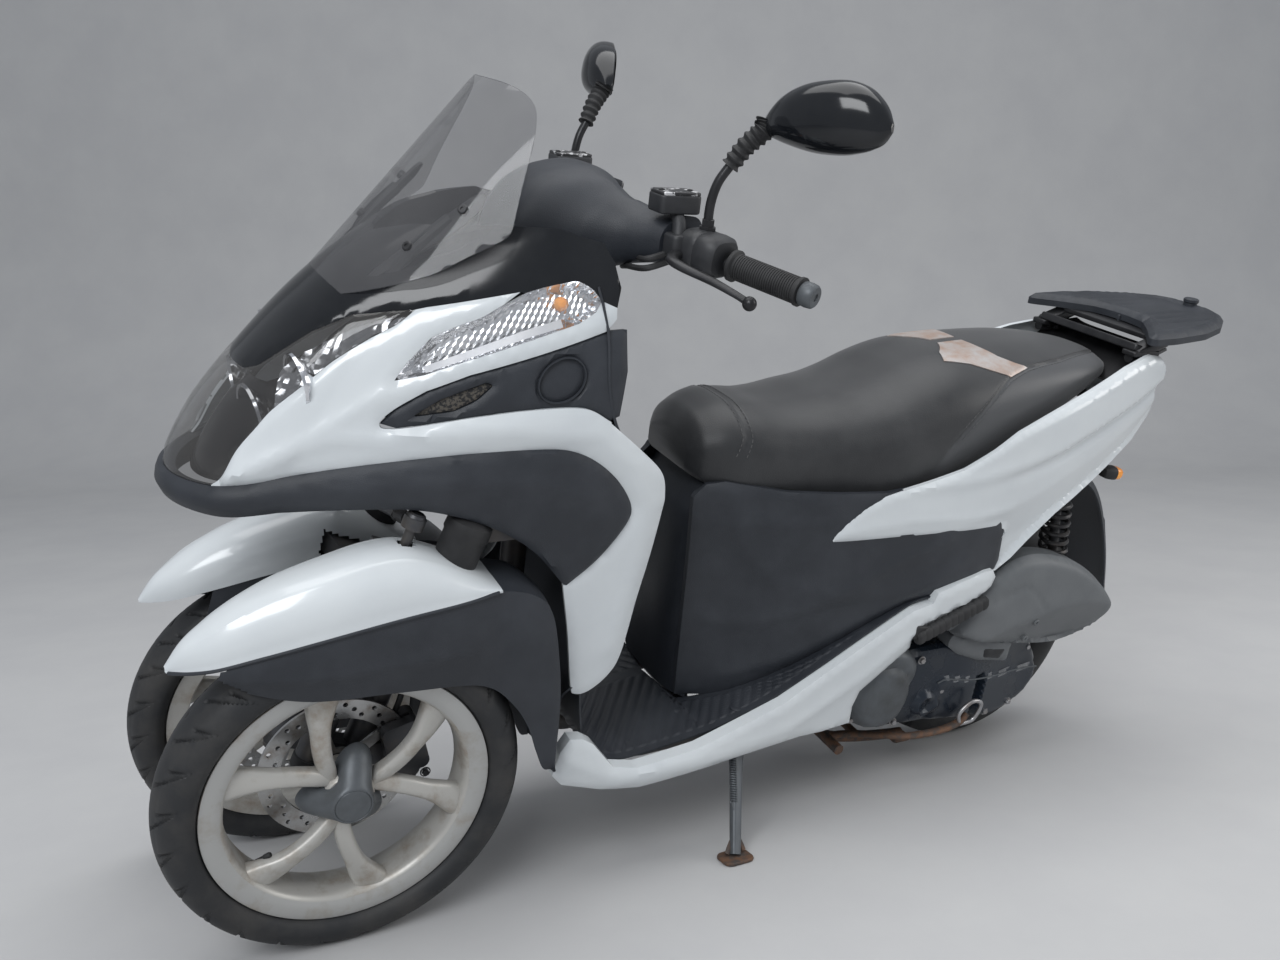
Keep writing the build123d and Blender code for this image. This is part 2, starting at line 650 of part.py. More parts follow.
def make_disc(radius, across=0.0):
    """A brake disc: a drilled ring on five arms and a boss."""
    with BuildPart() as disc:
        with BuildSketch(Plane.XZ.offset(-across)):
            Circle(radius)
            Circle(radius - 30, mode=Mode.SUBTRACT)
            with PolarLocations(0, 5):
                with Locations((radius / 2, 0)):
                    Rectangle(radius - 20, 16)
            Circle(DISC_SEAT + 8)
            Circle(DISC_SEAT + RUNNING, mode=Mode.SUBTRACT)
            for row, turn in ((radius - 8, 0), (radius - 15, 8), (radius - 22, 16)):
                with PolarLocations(row, 15, start_angle=turn):
                    Circle(3.5, mode=Mode.SUBTRACT)
        extrude(amount=DISC_WALL / 2, both=True)
    return disc.part



front_tyre = make_tyre(FRONT_RADIUS, FRONT_WIDTH, FRONT_BEAD, FRONT_RIM_HALF)
front_rim = make_rim(FRONT_BEAD, FRONT_RIM_HALF, FRONT_AXLE + RUNNING, 26, DISC_Y)
front_disc = make_disc(DISC_RADIUS)
rear_tyre = make_tyre(REAR_RADIUS, REAR_WIDTH, REAR_BEAD, REAR_RIM_HALF)
rear_rim = make_rim(REAR_BEAD, REAR_RIM_HALF, REAR_AXLE + RUNNING, 34, REAR_DISC_Y)
rear_disc = make_disc(115.0)

# Handlebar and what turns with it
BAR = 11.0
BAR_BEND = 40.0
BAR_PATH = ((-516, BAR_HALF - 6, 1026), (-420, 150, 1052), (-335, 60, 1008), (-335, -60, 1008),
            (-420, -150, 1052), (-516, -BAR_HALF + 6, 1026))
bar_room = tube(BAR_PATH, BAR + CLEAR, BAR_BEND)
with BuildPart() as handlebar:
    with BuildSketch(axis_plane(COLUMN[0])):
        Circle(STEM)
    extrude(amount=COLUMN[1] - COLUMN[0])
    with BuildSketch(axis_plane(COLUMN[0])):
        with BuildLine():
            Polyline((-15, -15), (15, -15), (10, TIE_AHEAD + 10), (-10, TIE_AHEAD + 10), close=True)
        make_face()
    extrude(amount=12)
    add(tube(BAR_PATH, BAR, BAR_BEND))
    add(block((-352, -290), (-24, 24), (992, 1024), 4))

with BuildPart() as grips:
    for side in SIDES.values():
        add(rod((-474, side * 264, 1039), (-515, side * 352, 1027.5), 17))
        add(rod((-515.5, side * 353, 1027.4), (-524, side * (BAR_HALF + 12), 1025), 16))
    add(bar_room, mode=Mode.SUBTRACT)

HOOD = ((-236, 1050), (-300, 1108), (-362, 1126), (-402, 1108), (-412, 1070), (-400, 1020), (-365, 984),
        (-320, 978), (-268, 1010))
HOOD_HALF = 82.0
COVER_ARM = ((-372, 60, 1046), (-432, 176, 1056))
with BuildPart() as handlebar_cover:
    add(prism(HOOD, HOOD_HALF))
    for side in SIDES.values():
        add(rod(*[(x, side * y, z) for x, y, z in COVER_ARM], 30))
    add(prism(HOOD, HOOD_HALF, grow=-PANEL), mode=Mode.SUBTRACT)
    for side in SIDES.values():
        add(rod(*[(x, side * y, z) for x, y, z in COVER_ARM], 27), mode=Mode.SUBTRACT)
    add(block((-356, -270), (-40, 40), (960, 1012)), mode=Mode.SUBTRACT)
    add(bar_room, mode=Mode.SUBTRACT)

with BuildPart() as controls:
    for side in SIDES.values():
        add(block((-476, -420), sorted((side * 196, side * 256)), (1022, 1078), 8))
        add(block((-455, -395), sorted((side * 148, side * 190)), (1092, 1118), 5))
        add(block((-440, -412), sorted((side * 186, side * 216)), (1066, 1104)))
        add(tube(((-432, side * 212, 1046), (-404, side * 236, 1040), (-446, side * 344, 1012)), 6, 24))
        add(rod((-446, side * 344, 1012), (-449, side * 352, 1010), 9))
    for side in SIDES.values():
        add(rod(*[(x, side * y, z) for x, y, z in COVER_ARM], 30 + CLEAR), mode=Mode.SUBTRACT)
    add(bar_room, mode=Mode.SUBTRACT)

with BuildPart() as mirrors:
    for side in SIDES.values():
        add(tube(((-452, side * 214, 1079), (-452, side * 214, 1110), (-466, side * 220, 1168),
                  (-500, side * 244, 1190)), 7, 16))
        head = Plane(origin=(-540, side * 312, 1232), x_dir=(-0.36, side * 0.92, 0.12),
                     z_dir=(-0.93, -side * 0.34, -0.12))
        with BuildSketch(head.offset(8)) as glass_edge:
            Ellipse(82, 42)
        with BuildSketch(head) as widest:
            Ellipse(86, 46)
        with BuildSketch(head.offset(-32)) as back:
            Ellipse(48, 22)
        loft(sections=[glass_edge.sketch, widest.sketch, back.sketch], ruled=True)
        add(rod((-500, side * 244, 1190), (-520, side * 268, 1212), 12))

# Tie rod between the two forks, level with the ground
tie_x, tie_z = on_axis(TIE_S, TIE_AHEAD)
tie_left = lean_point(tie_x, TRACK / 2, tie_z, TRACK / 2)
tie_right = lean_point(tie_x, -TRACK / 2, tie_z, -TRACK / 2)

# Rear wheel drive: engine block, crankcase, drive case, airbox, exhaust
CENTRE_PIVOT = (-905.0, 128.0)
CENTRE_PIN = 10.0
with BuildPart() as engine:
    add(block((-1040, -860), (-100, 60), (190, 340), 16))
    add(rod((-862, 0, 262), (-738, 0, 274), 56))
    add(block((-742, -694), (-64, 64), (214, 334), 10))
    with BuildSketch(Plane.XZ.offset(99)):
        with Locations((-970, 250)):
            Circle(78)
    extrude(amount=52)
    add(rod((-890, -112, 330), (-890, 112, 330), 20))
    add(block((-1030, -900), (-50, 50), (330, 400), 10))
    for y in (-50, 44):
        add(block((CENTRE_PIVOT[0] - 18, CENTRE_PIVOT[0] + 18), (y - 8, y + 8), (CENTRE_PIVOT[1] - 18, 196)))
    add(rod((CENTRE_PIVOT[0], -60, CENTRE_PIVOT[1]), (CENTRE_PIVOT[0], 60, CENTRE_PIVOT[1]), CENTRE_PIN + 0.05),
        mode=Mode.SUBTRACT)

DRIVE = ((-903, 196), (-930, 150), (-1010, 126), (-1180, 122), (-1310, 118), (-1380, 150), (-1430, 225),
         (-1415, 290), (-1350, 335), (-1240, 340), (-1060, 318), (-960, 298), (-905, 262))
DRIVE_Y = (66.0, 170.0)
with BuildPart() as drive_case:
    with BuildSketch(Plane.XZ.offset(-DRIVE_Y[1])):
        with BuildLine():
            Polyline(*DRIVE, close=True)
        make_face()
        fillet([corner for corner in vertices() if corner.Z > 0], 14)
    extrude(amount=DRIVE_Y[1] - DRIVE_Y[0])
    add(block((-1392, -1364), (118, 138), (296, 342)))

AIRBOX = ((-1052, 352), (-1085, 402), (-1165, 448), (-1270, 476), (-1400, 462), (-1490, 376),
          (-1478, 346), (-1340, 300), (-1180, 326), (-1110, 342))
AIRBOX_Y = (158.0, 206.0)
with BuildPart() as airbox:
    add(prism(AIRBOX, (AIRBOX_Y[1] - AIRBOX_Y[0]) / 2, middle=(AIRBOX_Y[0] + AIRBOX_Y[1]) / 2))
    add(block((-1500, -1000), (150, DRIVE_Y[1] + 2), (280, 343)), mode=Mode.SUBTRACT)

muffler = Plane(origin=(-1110, -190, 222), x_dir=(0.04, -1, 0), z_dir=(-0.97, -0.04, 0.24))
with BuildPart() as exhaust:
    slices = []
    for along, wide, tall in ((0, 34, 42), (50, 46, 58), (340, 49, 62), (400, 36, 46)):
        with BuildSketch(muffler.offset(along)) as cut:
            Ellipse(wide, tall)
        slices.append(cut.sketch)
    loft(sections=slices, ruled=True)
    add(rod((-1480, -206, 314), (-1530, -208, 326), 20))
    add(tube(((-715, -20, 196), (-760, -60, 146), (-900, -122, 132), (-1040, -186, 150), (-1125, -190, 222)),
             17, 26))

SHOCK_TOP = (-1318, 640)
with BuildPart() as rear_shocks:
    for y, low in ((128, 346), (-112, 296)):
        add(rod((-1378, y, low), (SHOCK_TOP[0], y, SHOCK_TOP[1]), 11))
        run = (SHOCK_TOP[0] + 1378) / (SHOCK_TOP[1] - low)
        add(rod((-1378 + run * (430 - low), y, 430), (-1378 + run * (596 - low), y, 596), 24))
        add(rod((SHOCK_TOP[0], y - 16, SHOCK_TOP[1]), (SHOCK_TOP[0], y + 16, SHOCK_TOP[1]), 14))

with BuildPart() as swing_arm:
    add(block((-1400, -1064), (-112, -94), (228, 278), 5))
    add(block((-1392, -1364), (-122, -102), (262, 292)))
    add(rod((-WHEELBASE, -116, REAR_RADIUS), (-WHEELBASE, 62, REAR_RADIUS), REAR_AXLE))

MUDGUARD = ((-1290, 560), (-1440, 600), (-1500, 580), (-1572, 480), (-1640, 310))
with BuildPart() as rear_mudguard:
    add(band(MUDGUARD, 74, 4))
    add(band(((-1140, 520), (-1290, 560)), 60, 4))

with BuildPart() as rear_lamps:
    add(block((-1560, -1510), (-80, 80), (738, 800), 10))
    for side in SIDES.values():
        add(rod((-1538, side * 84, 720), (-1552, side * 160, 700), 9))
        add(block((-1580, -1530), sorted((side * 140, side * 176)), (676, 720), 10))
    add(rear_solid(-CLEAR), mode=Mode.SUBTRACT)

with BuildPart() as rack:
    for side in SIDES.values():
        add(tube(((-1474, side * 110, 815), (-1500, side * 112, 862), (-1600, side * 104, 872)), 10, 20))
    add(tube(((-1590, -104.9, 871), (-1640, -80, 872), (-1640, 80, 872), (-1590, 104.9, 871)), 10, 20))
    add(block((-1560, -1490), (-106, 106), (866, 880)))
    add(rear_solid(-CLEAR), mode=Mode.SUBTRACT)

PLATE = ((-1452, 150), (-1470, 162), (-1600, 150), (-1690, 112), (-1716, 70))
with BuildPart() as top_plate:
    with BuildSketch(Plane.XY.offset(882)):
        with BuildLine():
            Polyline(*PLATE)
            Polyline(*[(x, -y) for x, y in PLATE])
            Line((-1452, 150), (-1452, -150))
            Line((-1716, 70), (-1716, -70))
        make_face()
    extrude(amount=16)
    with BuildSketch(Plane.XY.offset(898)):
        with Locations((-1706, 0)):
            Circle(13)
    extrude(amount=18)

with BuildPart() as ignition:
    add(rod((-345.5, -100, 900), (-362, -100, 900), 17))

# Stands
STAND_PIVOT = (-664.0, 160.0, 222.0)
STAND_FOOT = (-610.0, 280.0)
STAND_FOLDED = (-192.0, 46.0, -52.0)
STAND_PIN = 6.0
FOOT_WALL = 7.0
sine = sin(radians(LEAN))
cosine = cos(radians(LEAN))
foot_y = STAND_FOOT[1] * cosine + TREAD_RADIUS * sine
foot_z = TREAD_RADIUS + STAND_FOOT[1] * sine - TREAD_RADIUS * cosine
stand_foot = Vector(STAND_FOOT[0], foot_y, foot_z)
up = Vector(0, -sine, cosine)
stand_axis = (stand_foot - Vector(*STAND_PIVOT)).cross(Vector(*STAND_FOLDED)).normalized()
with BuildPart() as side_stand:
    add(rod(Vector(*STAND_PIVOT) - stand_axis * 12, Vector(*STAND_PIVOT) + stand_axis * 12, 15))
    add(rod(STAND_PIVOT, stand_foot + up * 5, 10))
    with BuildSketch(Plane(origin=stand_foot, x_dir=(1, 0, 0), z_dir=up)):
        RectangleRounded(54, 46, 14)
    extrude(amount=FOOT_WALL)
    with BuildSketch(Plane(origin=stand_foot - up * 40, x_dir=(1, 0, 0), z_dir=up)):
        Rectangle(200, 200)
    extrude(amount=40, mode=Mode.SUBTRACT)
    add(rod(Vector(*STAND_PIVOT) - stand_axis * 20, Vector(*STAND_PIVOT) + stand_axis * 20, STAND_PIN + 0.05),
        mode=Mode.SUBTRACT)

with BuildPart() as centre_stand:
    add(rod((CENTRE_PIVOT[0], -92, CENTRE_PIVOT[1]), (CENTRE_PIVOT[0], 150, CENTRE_PIVOT[1]), CENTRE_PIN))
    add(tube(((CENTRE_PIVOT[0], 146, CENTRE_PIVOT[1]), (-960, 188, 112), (-1060, 190, 118), (-1141, 190, 180)), 9, 20))
    for side in SIDES.values():
        add(tube(((CENTRE_PIVOT[0], side * 84, CENTRE_PIVOT[1]), (-960, side * 84, 100), (-1092, side * 104, 96)), 10, 20))
    add(rod((-1000, -88, 98), (-1000, 88, 98), 8))

with BuildPart() as pegs:
    for side in SIDES.values():
        add(rod((-930, side * 238, 404), (-1105, side * 228, 446), 11))

# Tie rod: ball sockets at its ends, bellows, a bar between
with BuildPart() as tie_rod:
    add(rod(tie_left, tie_right, 8))
    for end, inward in ((tie_left, -1), (tie_right, 1)):
        add(rod((end[0], end[1] + inward * 26, end[2]), (end[0], end[1] + inward * 66, end[2]), 9.5))
        socket = Plane(origin=end, z_dir=(-SIN_C, COS_C * sine, COS_C * cosine))
        with BuildSketch(socket.offset(-8)):
            Circle(BALL + 4)
        extrude(amount=16)
        with BuildSketch(socket.offset(-30)):
            Circle(STUD + 1.5)
        extrude(amount=60, mode=Mode.SUBTRACT)

# Stays: each panel or unit reaches the tube, panel or case that carries it
def stayed(piece, stays, *against):
    """A piece with its brackets, cut back to the faces of what they meet."""
    with BuildPart() as joined:
        add(piece.part)
        for stay in stays:
            add(stay)
        for other in against:
            add(other.part, mode=Mode.SUBTRACT)
    return joined


def pair(x, y, z):
    """A small block on the left and its twin on the right."""
    return [block(x, y, z), block(x, (-y[1], -y[0]), z)]


stand_pin = rod(Vector(*STAND_PIVOT) - stand_axis * 34, Vector(*STAND_PIVOT) + stand_axis * 14, STAND_PIN)
frame = stayed(frame, [stand_pin])
hinge_lugs = pair((HINGE[0] - 4, HINGE[0] + 4), (22, 30), (615, HINGE[1]))
hinge_pin = rod((HINGE[0], -30, HINGE[1]), (HINGE[0], 30, HINGE[1]), HINGE_PIN)
hinge_plate = block((HINGE[0] - 4, -567), (-30, 30), (612, 630))
seat_base = stayed(seat_base, pair((-846, -826), (134, 176), (398, 410)) + hinge_lugs + [hinge_pin, hinge_plate], frame)
rear_covers = stayed(rear_covers, pair((-1290, -1270), (112, 172), (664, 676)), frame)
guard_stays = [rod((-1280, side * 66, 560), (-1280, side * 109, 668), 5) for side in SIDES.values()]
rear_mudguard = stayed(rear_mudguard, pair((-1286, -1274), (56, 74), (556, 568)) + guard_stays, frame)
shock_lugs = [rod((SHOCK_TOP[0], y, SHOCK_TOP[1]), (SHOCK_TOP[0], y, SHOCK_TOP[1] + 38), 6) for y in (116, -106)]
rear_shocks = stayed(rear_shocks, shock_lugs, frame)
side_skirts = stayed(side_skirts, pair((-560, -540), (112, 212), (216, 230)), frame)
floor_board = stayed(floor_board, pair((-560, -540), (108, 128), (215, 266)), frame, side_skirts)
pegs = stayed(pegs, pair((-948, -918), (208, 240), (396, 414)), side_skirts)
bucket = stayed(bucket, pair((-952, -932), (103, 122), (476, 486)), frame)
engine_links = [rod((-890, side * 108, 330), (-890, side * 122, 446), 7) for side in SIDES.values()]
engine = stayed(engine, engine_links, frame, drive_case)
drive_case = stayed(drive_case, [block((-1030, -910), (56, 70), (200, 300))], engine)
pipe_stays = [block((-728, -702), (-32, -8), (190, 226)), block((-1240, -1200), (-150, -110), (240, 262))]
exhaust = stayed(exhaust, pipe_stays, engine, swing_arm)
airbox = stayed(airbox, [block((-1180, -1120), (160, 200), (318, 352))], drive_case)
leg_shield = stayed(leg_shield, pair((-412, -330), (8, 20), (606, 618)), frame)
headlamps = stayed(headlamps, pair((-60, -40), (100, 164), (880, 892)), front_cowl)
rack = stayed(rack, pair((-1500, -1488), (96, 130), (836, 862)), rear_covers)

# Lean: the body about the tread on the centre line, each front wheel about its own tread
body_lean = Location((0, 0, TREAD_RADIUS)) * Location((0, 0, 0), (-LEAN, 0, 0)) * Location((0, 0, -TREAD_RADIUS))


def wheel_lean(side):
    """Leans a front wheel assembly and sets it at its half of the track."""
    return Location((0, side * TRACK / 2, 0)) * body_lean


placed = {}
ON_BODY = {
    "frame": frame, "floor_board": floor_board, "leg_shield": leg_shield, "front_cowl": front_cowl,
    "nose_lens": nose_lens, "headlamps": headlamps, "turn_lamps": turn_lamps, "upper_cowl": upper_cowl,
    "windscreen": windscreen, "lower_trim": lower_trim, "side_inserts": side_inserts,
    "side_skirts": side_skirts, "seat_base": seat_base, "rear_covers": rear_covers, "bucket": bucket,
    "rear_lamps": rear_lamps, "rear_mudguard": rear_mudguard, "rack": rack, "top_plate": top_plate,
    "engine": engine, "drive_case": drive_case, "airbox": airbox, "exhaust": exhaust,
    "rear_shocks": rear_shocks, "swing_arm": swing_arm, "ignition": ignition, "pegs": pegs,
    "handlebar": handlebar, "grips": grips, "handlebar_cover": handlebar_cover, "controls": controls,
    "mirrors": mirrors, "seat": seat, "side_stand": side_stand, "centre_stand": centre_stand,
}
for name, piece in ON_BODY.items():
    placed[name] = body_lean * piece.part
placed["front_cowl"] = body_lean * Compound(front_panels)
rear_at = body_lean * Location((-WHEELBASE, 0, REAR_RADIUS))
placed["tyre_rear"] = rear_at * rear_tyre
placed["rim_rear"] = rear_at * rear_rim
placed["disc_rear"] = rear_at * Location((0, REAR_DISC_Y, 0)) * rear_disc
axle_at = Location((0, 0, FRONT_RADIUS))


def handed(shape, side):
    """A shape modelled for the left, or its mirror image for the right."""
    return shape if side > 0 else mirror(shape, about=Plane.XZ)


for name, side in SIDES.items():
    there = wheel_lean(side)
    placed["tyre_" + name] = there * axle_at * front_tyre
    placed["rim_" + name] = there * axle_at * handed(front_rim, side)
    placed["disc_" + name] = there * axle_at * Location((0, side * DISC_Y, 0)) * front_disc
    placed["fork_" + name] = there * handed(fork_shape, side)
    placed["fender_" + name] = there * handed(fender_white.part, side)
    placed["fender_skirt_" + name] = there * handed(fender_dark.part, side)
placed["posts"] = Compound([wheel_lean(1) * post.part, wheel_lean(-1) * handed(post.part, -1)])
placed["cross_arms"] = arms.part
placed["tie_rod"] = tie_rod.part

# The origin is the middle of the whole machine's footprint, on the floor
whole = Compound(list(placed.values())).bounding_box()
to_origin = Location((-whole.center().X, -whole.center().Y, -whole.min.Z))
print("origin shift", to_origin.position, "size", whole.size)
for name, shape in placed.items():
    shape = to_origin * shape
    shape.label = name
    export_step(shape, f"parts/{name}.step")
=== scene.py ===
# %% [markdown]
# # A parked leaning three-wheeler, built on its CAD frame
# The CAD tool made the bodies and their joints. This file gives every one of them its real surface.
# The frame comes in first, because each new piece is placed against it and rides one of its bodies.

# %% Load the frame
from math import cos, exp, pi, radians, sin
import bpy
import numpy as np
from mathutils import Vector, Matrix
from mathutils.geometry import delaunay_2d_cdt


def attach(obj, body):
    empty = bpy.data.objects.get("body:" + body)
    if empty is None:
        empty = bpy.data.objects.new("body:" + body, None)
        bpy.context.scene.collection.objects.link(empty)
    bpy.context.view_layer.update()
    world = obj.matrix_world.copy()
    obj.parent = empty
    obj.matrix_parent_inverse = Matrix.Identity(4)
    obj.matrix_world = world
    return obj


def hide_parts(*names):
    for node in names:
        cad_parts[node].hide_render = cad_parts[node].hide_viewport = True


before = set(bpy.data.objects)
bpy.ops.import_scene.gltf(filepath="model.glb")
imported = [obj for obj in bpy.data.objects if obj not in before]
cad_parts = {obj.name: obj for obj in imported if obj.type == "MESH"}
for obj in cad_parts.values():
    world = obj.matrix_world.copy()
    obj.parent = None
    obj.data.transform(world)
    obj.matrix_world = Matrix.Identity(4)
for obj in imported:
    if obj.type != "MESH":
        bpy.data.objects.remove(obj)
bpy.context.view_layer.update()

# %% [markdown]
# ## The leaning frame of reference
# The machine leans 15 degrees on its side stand, and each front wheel leans with it about its own tread.
# Drawing on a tilted body is awkward, so every piece is drawn upright in millimetres and leaned once, here.
# A wheel-side piece is drawn about its own wheel's middle plane, which is what w is for.

# %% From upright millimetres to the row frame
LEAN = radians(15)
FRONT_AXLE, REAR_AXLE = (0, 0, 250), (-1310, 0, 251)
SHIFT = (734.5, -223.004, 0.0)
TREAD, HALF_TRACK = 50.0, 192.5
AHEAD, LEFT, UP = (1, 0, 0), (0, 1, 0), (0, 0, 1)


def lean(points, w=0.0):
    """x kept; (y, z - 50) turned by 15 degrees about the tread at y = w; then moved to the row's origin."""
    p = np.asarray(points, float)
    x, a, u = p[..., 0], p[..., 1], p[..., 2] - TREAD
    y = w + a * cos(LEAN) + u * sin(LEAN)
    z = TREAD + u * cos(LEAN) - a * sin(LEAN)
    return cols(x + SHIFT[0], y + SHIFT[1], z + SHIFT[2]) / 1000.0


def rows(table, at, column):
    """A smooth line through table rows: each gap is a cubic whose end slopes come from its neighbours."""
    t = np.array(table, float)
    x, y = t[:, 0], t[:, column]
    if x[0] > x[-1]:
        x, y = x[::-1], y[::-1]
    slope = np.gradient(y, x)
    at = np.clip(at, x[0], x[-1])
    i = np.clip(np.searchsorted(x, at) - 1, 0, len(x) - 2)
    h = x[i + 1] - x[i]
    s = (at - x[i]) / h
    return ((1 + 2 * s) * (1 - s) ** 2 * y[i] + s * (1 - s) ** 2 * h * slope[i] + s * s * (3 - 2 * s) * y[i + 1] + s
        * s * (s - 1) * h * slope[i + 1])


def mix(a, b, s):
    return a + (b - a) * s


def step(x, low, high):
    """0 below low, 1 above high, eased between."""
    s = np.clip((x - low) / (high - low), 0, 1)
    return s * s * (3 - 2 * s)


# %% [markdown]
# ## Making a mesh
# Every surface here is a table of points with the faces that join them, filled in one call each.
# Sharp edges come from the angle between faces, so that one mesh may hold both a soft crown and a crisp rim.

# %% Mesh helpers
def make(name, verts, faces, finish, body, stands_for=None, sharp=35.0, w=None, tone=None):
    """An object at the origin from points (leaned first when w is given) and a list of faces."""
    v = lean(verts, w) if w is not None else np.asarray(verts, float)
    me = bpy.data.meshes.new(name)
    me.from_pydata(v.tolist(), [], [list(map(int, f)) for f in faces])
    me.validate()
    me.polygons.foreach_set("use_smooth", [True] * len(me.polygons))
    me.set_sharp_from_angle(angle=radians(sharp))
    if tone is not None:
        layer = me.attributes.new("tone", "FLOAT", "POINT")
        layer.data.foreach_set("value", np.asarray(tone, np.float32))
    me.materials.append(finish)
    o = bpy.data.objects.new(name, me)
    bpy.context.scene.collection.objects.link(o)
    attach(o, body)
    if stands_for:
        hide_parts(stands_for)
    return o


def cols(*values):
    """Points whose coordinates are the given arrays."""
    return np.stack(values, -1)


def unit(v):
    """The vector at length one."""
    v = np.asarray(v, float)
    return v / np.linalg.norm(v)


def circle(n):
    """n angles round a full turn."""
    return np.linspace(0, 2 * np.pi, n, endpoint=False)


def run_of(path):
    """How far along a path each of its points lies."""
    return np.concatenate([[0], np.cumsum(np.linalg.norm(np.diff(path, axis=0), axis=1))])


def square_to(path):
    """Unit vectors square to a flat path."""
    d = np.gradient(path, axis=0)
    return np.c_[d[:, 1], -d[:, 0]] / np.linalg.norm(d, axis=1)[:, None]


def facing(points, faces, toward):
    """The triangles, turned over when their normals point against toward on the whole."""
    a, b, c = (points[[f[k] for f in faces]] for k in range(3))
    return [f[::-1] for f in faces] if (np.cross(b - a, c - a) * toward).sum() < 0 else faces


def quads(n, m, close_n=False, close_m=False):
    """Faces of an n by m table of points, row by row, joined round when asked."""
    i = np.arange(n if close_n else n - 1)[:, None]
    j = np.arange(m if close_m else m - 1)[None, :]
    a, b = i * m + j, i * m + (j + 1) % m
    c, d = ((i + 1) % n) * m + (j + 1) % m, ((i + 1) % n) * m + j
    return cols(a, b, c, d).reshape(-1, 4).tolist()


def normals_of(g):
    """Unit normals of a table: the cross product of its two directions."""
    n = np.cross(np.gradient(g, axis=0), np.gradient(g, axis=1))
    return n / (np.linalg.norm(n, axis=2)[..., None] + 1e-9)


class Parts:
    """Collects several point tables into the one mesh of a piece."""

    def __init__(self):
        self.v, self.f, self.n = [], [], 0

    def add(self, verts, faces):
        v = np.asarray(verts, float).reshape(-1, 3)
        self.v.append(v)
        self.f += [[q + self.n for q in f] for f in faces]
        self.n += len(v)
        return self

    def table(self, grid, close_n=False, close_m=False, cap=False):
        g = np.asarray(grid, float)
        n, m = g.shape[:2]
        f = quads(n, m, close_n, close_m)
        if cap:
            f += [list(range(m))[::-1], [(n - 1) * m + k for k in range(m)]]
        return self.add(g, f)

    def tube(self, *path):
        """A bar along a path, closed at both ends."""
        return self.loft(hose(*path))

    def loft(self, sections):
        """A skin over closed sections, its ends filled."""
        return self.table(np.stack(sections), close_m=True, cap=True)

    def turned(self, *profile):
        """A shape turned on a lathe."""
        return self.table(lathe(*profile), close_m=True)

    def block(self, *plate):
        """A plate with rounded rims."""
        return self.loft(slab(*plate))

    def make(self, name, finish, slot, stands_for=None, body="chassis", w=0, sharp=35.0):
        """The finished piece: finish is a name in F, stands_for the CAD node that it replaces."""
        return make(name, np.concatenate(self.v), self.f, F[finish], body, stands_for, sharp, w)


def frame_at(direction):
    """Two unit vectors square to a direction."""
    d = unit(direction)
    side = unit(np.cross(d, (0, 0, 1.0) if abs(d[2]) < 0.9 else (0, 1.0, 0)))
    return side, np.cross(side, d)


def smooth_path(points, n):
    """n points on a Catmull-Rom line through the given ones."""
    p = np.asarray(points, float)
    if len(p) == 2:
        return p[0] + (p[1] - p[0]) * np.linspace(0, 1, n)[:, None]
    p = np.vstack([2 * p[0] - p[1], p, 2 * p[-1] - p[-2]])
    t = np.linspace(0, len(p) - 3, n)
    i = np.minimum(t.astype(int), len(p) - 4)
    s = (t - i)[:, None]
    a, b, c, d = p[i], p[i + 1], p[i + 2], p[i + 3]
    return 0.5 * (2 * b + (c - a) * s + (2 * a - 5 * b + 4 * c - d) * s ** 2 + (3 * b - a - 3 * c + d) * s ** 3)


def hose(points, radius, n=40, around=16, flat=1.0):
    """A round bar along a path: circles square to it, radius one number or several spread along it."""
    c = smooth_path(points, n)
    given = np.atleast_1d(radius)
    r = np.interp(np.linspace(0, 1, n), np.linspace(0, 1, len(given)), given)
    along = np.gradient(c, axis=0)
    side, up = frame_at(along[0])
    g = np.zeros((n, around, 3))
    turn = circle(around)
    for k in range(n):
        d = unit(along[k])
        side = unit(side - d * (side @ d))
        up = np.cross(side, d)
        g[k] = c[k] + r[k] * (np.cos(turn)[:, None] * side + flat * np.sin(turn)[:, None] * up)
    return g


def lathe(profile, start, end, around=48):
    """(radius, distance) pairs turned about the line from start to end, distance measured from start."""
    a, b = np.asarray(start, float), np.asarray(end, float)
    d = unit(b - a)
    side, up = frame_at(d)
    turn = circle(around)
    ring = np.cos(turn)[:, None] * side + np.sin(turn)[:, None] * up
    return np.stack([a + d * s + r * ring for r, s in profile])


def rounded(half_x, half_y, radius, n=6):
    """A rounded rectangle as a closed line."""
    out = []
    for k, (sx, sy) in enumerate(((1, 1), (-1, 1), (-1, -1), (1, -1))):
        for a in np.linspace(k * pi / 2, (k + 1) * pi / 2, n):
            out.append((sx * (half_x - radius) + radius * cos(a), sy * (half_y - radius) + radius * sin(a)))
    return np.array(out)


def slab(outline, origin, x_dir, y_dir, thick, bevel=2.0, steps=4):
    """A plate from a closed line: its rim is a quarter round of radius bevel on both faces."""
    o2 = np.asarray(outline, float)
    centre = o2.mean(0)
    x, y = unit(x_dir), unit(y_dir)
    z = np.cross(x, y)
    reach = np.linalg.norm(o2 - centre, axis=1)[:, None]
    layers = []
    for a in np.linspace(0, pi / 2, steps):
        layers.append((bevel * (1 - sin(a)), bevel * (1 - cos(a))))
    for a in np.linspace(pi / 2, 0, steps):
        layers.append((bevel * (1 - sin(a)), thick - bevel * (1 - cos(a))))
    g = []
    for inset, height in layers:
        q = centre + (o2 - centre) * (1 - inset / np.maximum(reach, 1e-6))
        g.append(np.asarray(origin, float) + q[:, :1] * x + q[:, 1:] * y + height * z)
    return np.stack(g)


